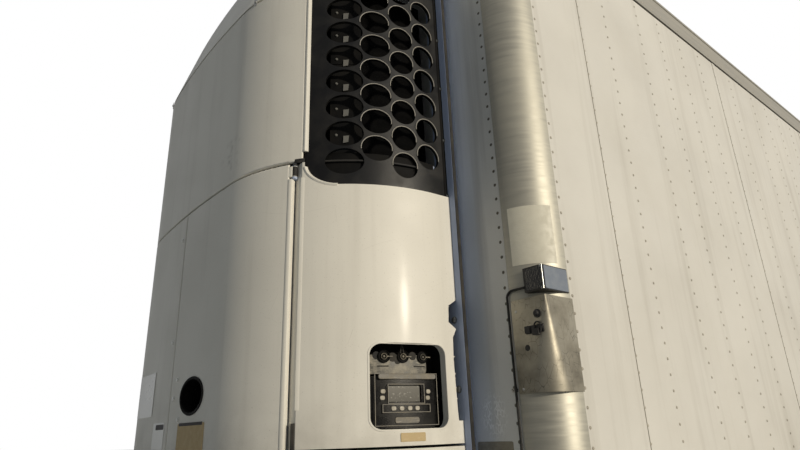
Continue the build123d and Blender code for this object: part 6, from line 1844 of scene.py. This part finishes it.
@makes("guard_tape", "rear_tape", "red_lens")
def guard_tape(shape):
    """Reflective tape on the rear guard's bar."""
    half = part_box("rear_guard")[1].y - 0.02
    for low, high in ((-half, -0.60), (-0.52, 0.52), (0.60, half)):
        shape.box((END - 0.031, low, 0.503), (END - 0.0293, high, 0.554))


@makes("roof_details", "roof_white", "roof_sheet")
def roof_details(shape):
    """Sealed laps across the crowned roof sheet, with rivets along both edges."""
    crown = 0.012
    across = [-1.20 + 2.40 * i / 12 for i in range(13)]
    for i in range(1, 11):
        path = [(FRONT + i * 1.46, y, ROOF_TOP - crown * (y / HALF) ** 2) for y in across]
        shape.sweep(path, [UP] * len(path), strip(0.030, -0.0012, 0.0014))
    for side in BOTH:
        for i in range(160):
            shape.dome((FRONT + 0.16 + i * 0.1, side * 1.262, ROOF_TOP - crown), UP, 0.006, 0.0022)


@makes("inner_guards", "aluminium_plate", "bare_aluminium")
def inner_guards(shape):
    """Bare sheets along the foot of the inner walls."""
    for side in BOTH:
        reach = (WALL_INSIDE - 0.002, WALL_INSIDE + 0.001)
        shape.slab(side, (FRONT + 0.16, END - 0.115), reach, (FLOOR_TOP, FLOOR_TOP + 0.305))


# Stage, light and camera


EYE = Vector((-9.2643, -2.3943, 1.8277))
LENS = 25.835
YAW, PITCH, ROLL = (math.radians(angle) for angle in (50.283, 19.793, -1.978))
LAMPS = (
    # name, energy, soft angle, azimuth, height, colour
    ("key", 2.2, 4, 276, 12, (1.0, 0.90, 0.73)),
    ("fill", 1.15, 30, 48, 46, (0.93, 0.97, 1.0)),
)


def show(name, data):
    """Puts a new object with its data into the scene."""
    shown = bpy.data.objects.new(name, data)
    bpy.context.scene.collection.objects.link(shown)
    return shown


def aimed(yaw, pitch):
    """The direction at an angle round z and an angle up from level."""
    return Vector((math.cos(yaw) * math.cos(pitch), math.sin(yaw) * math.cos(pitch), math.sin(pitch)))


def set_camera():
    """The photograph's place and angle, found from the trailer's known sizes."""
    ahead = aimed(YAW, PITCH)
    level = Vector((math.sin(YAW), -math.cos(YAW), 0))
    above = level.cross(ahead)
    right = math.cos(ROLL) * level + math.sin(ROLL) * above
    up = -math.sin(ROLL) * level + math.cos(ROLL) * above
    camera = show("camera", bpy.data.cameras.new("camera"))
    camera.data.lens = LENS
    camera.data.clip_end = 500
    turn = Matrix([[right[i], up[i], -ahead[i]] for i in range(3)]).to_4x4()
    camera.matrix_world = Matrix.Translation(EYE) @ turn
    bpy.context.scene.camera = camera


def set_lamps():
    """A low warm key ahead of the roadside, and a soft cool fill from behind the kerbside."""
    for name, energy, angle, azimuth, height, colour in LAMPS:
        light = bpy.data.lights.new(name, "SUN")
        light.energy = energy
        light.angle = math.radians(angle)
        light.color = colour
        to_lamp = aimed(math.radians(azimuth), math.radians(height))
        show(name, light).rotation_euler = to_lamp.to_track_quat("Z", "Y").to_euler()


def set_world():
    """Even cool light from all round. The camera, metal and glass see a pale background."""
    world = bpy.data.worlds.new("studio")
    bpy.context.scene.world = world
    world.use_nodes = True
    tree = world.node_tree
    fill = add_node(tree, "Background", {"Color": (0.86, 0.95, 1.0, 1), "Strength": 0.145})
    ahead = add_node(tree, "SeparateXYZ", {0: add_node(tree, "TexCoord", {}, "Generated")}, "X")
    shade = add_node(tree, "MapRange", {"Value": ahead, 1: -0.9, 2: 0.1, 3: 0.25, 4: 1.0}, "Result")
    mirror = add_node(tree, "Background", {"Color": shade, "Strength": 0.55})
    backdrop = add_node(tree, "Background", {"Color": (1, 1, 1, 1)})
    mirrored, through, seen = (
        add_node(tree, "LightPath", {}, f"Is {kind} Ray") for kind in ("Glossy", "Transmission", "Camera")
    )
    glossy = add_node(tree, "Math", {0: mirrored, 1: through}, operation="MAXIMUM")
    light = add_node(tree, "MixShader", {0: glossy, 1: fill, 2: mirror})
    final = add_node(tree, "MixShader", {0: seen, 1: light, 2: backdrop})
    tree.links.new(final, tree.nodes["World Output"].inputs["Surface"])


def set_floor():
    """A wide pale floor that keeps the trailer's shadow."""
    ground = Shape()
    ground.box((-150, -150, -0.05), (150, 150, 0))
    mesh = bpy.data.meshes.new("floor")
    mesh.from_pydata(ground.points, [], ground.faces)
    concrete = Finish(srgb(170, 170, 169), 0.9)
    concrete.material.name = "floor"
    concrete.colour(concrete.mix(concrete.noise(0.6, 6), srgb(164, 164, 163), srgb(178, 178, 177)))
    concrete.bump(concrete.noise(60, 4), 0.001, 0.2)
    dark, glow = (concrete.node("Emission", {"Strength": strength}) for strength in (0.0, 0.5))
    seen = concrete.node("LightPath", {}, "Is Camera Ray")
    choice = concrete.node("MixShader", {0: seen, 1: dark, 2: glow})
    total = concrete.node("AddShader", {0: concrete.shader.outputs[0], 1: choice})
    concrete.tree.links.new(total, concrete.tree.nodes["Material Output"].inputs["Surface"])
    mesh.materials.append(concrete.material)
    floor = show("floor", mesh)


set_camera()
set_lamps()
set_world()
set_floor()
dress()

bpy.context.scene.view_settings.view_transform = "Standard"
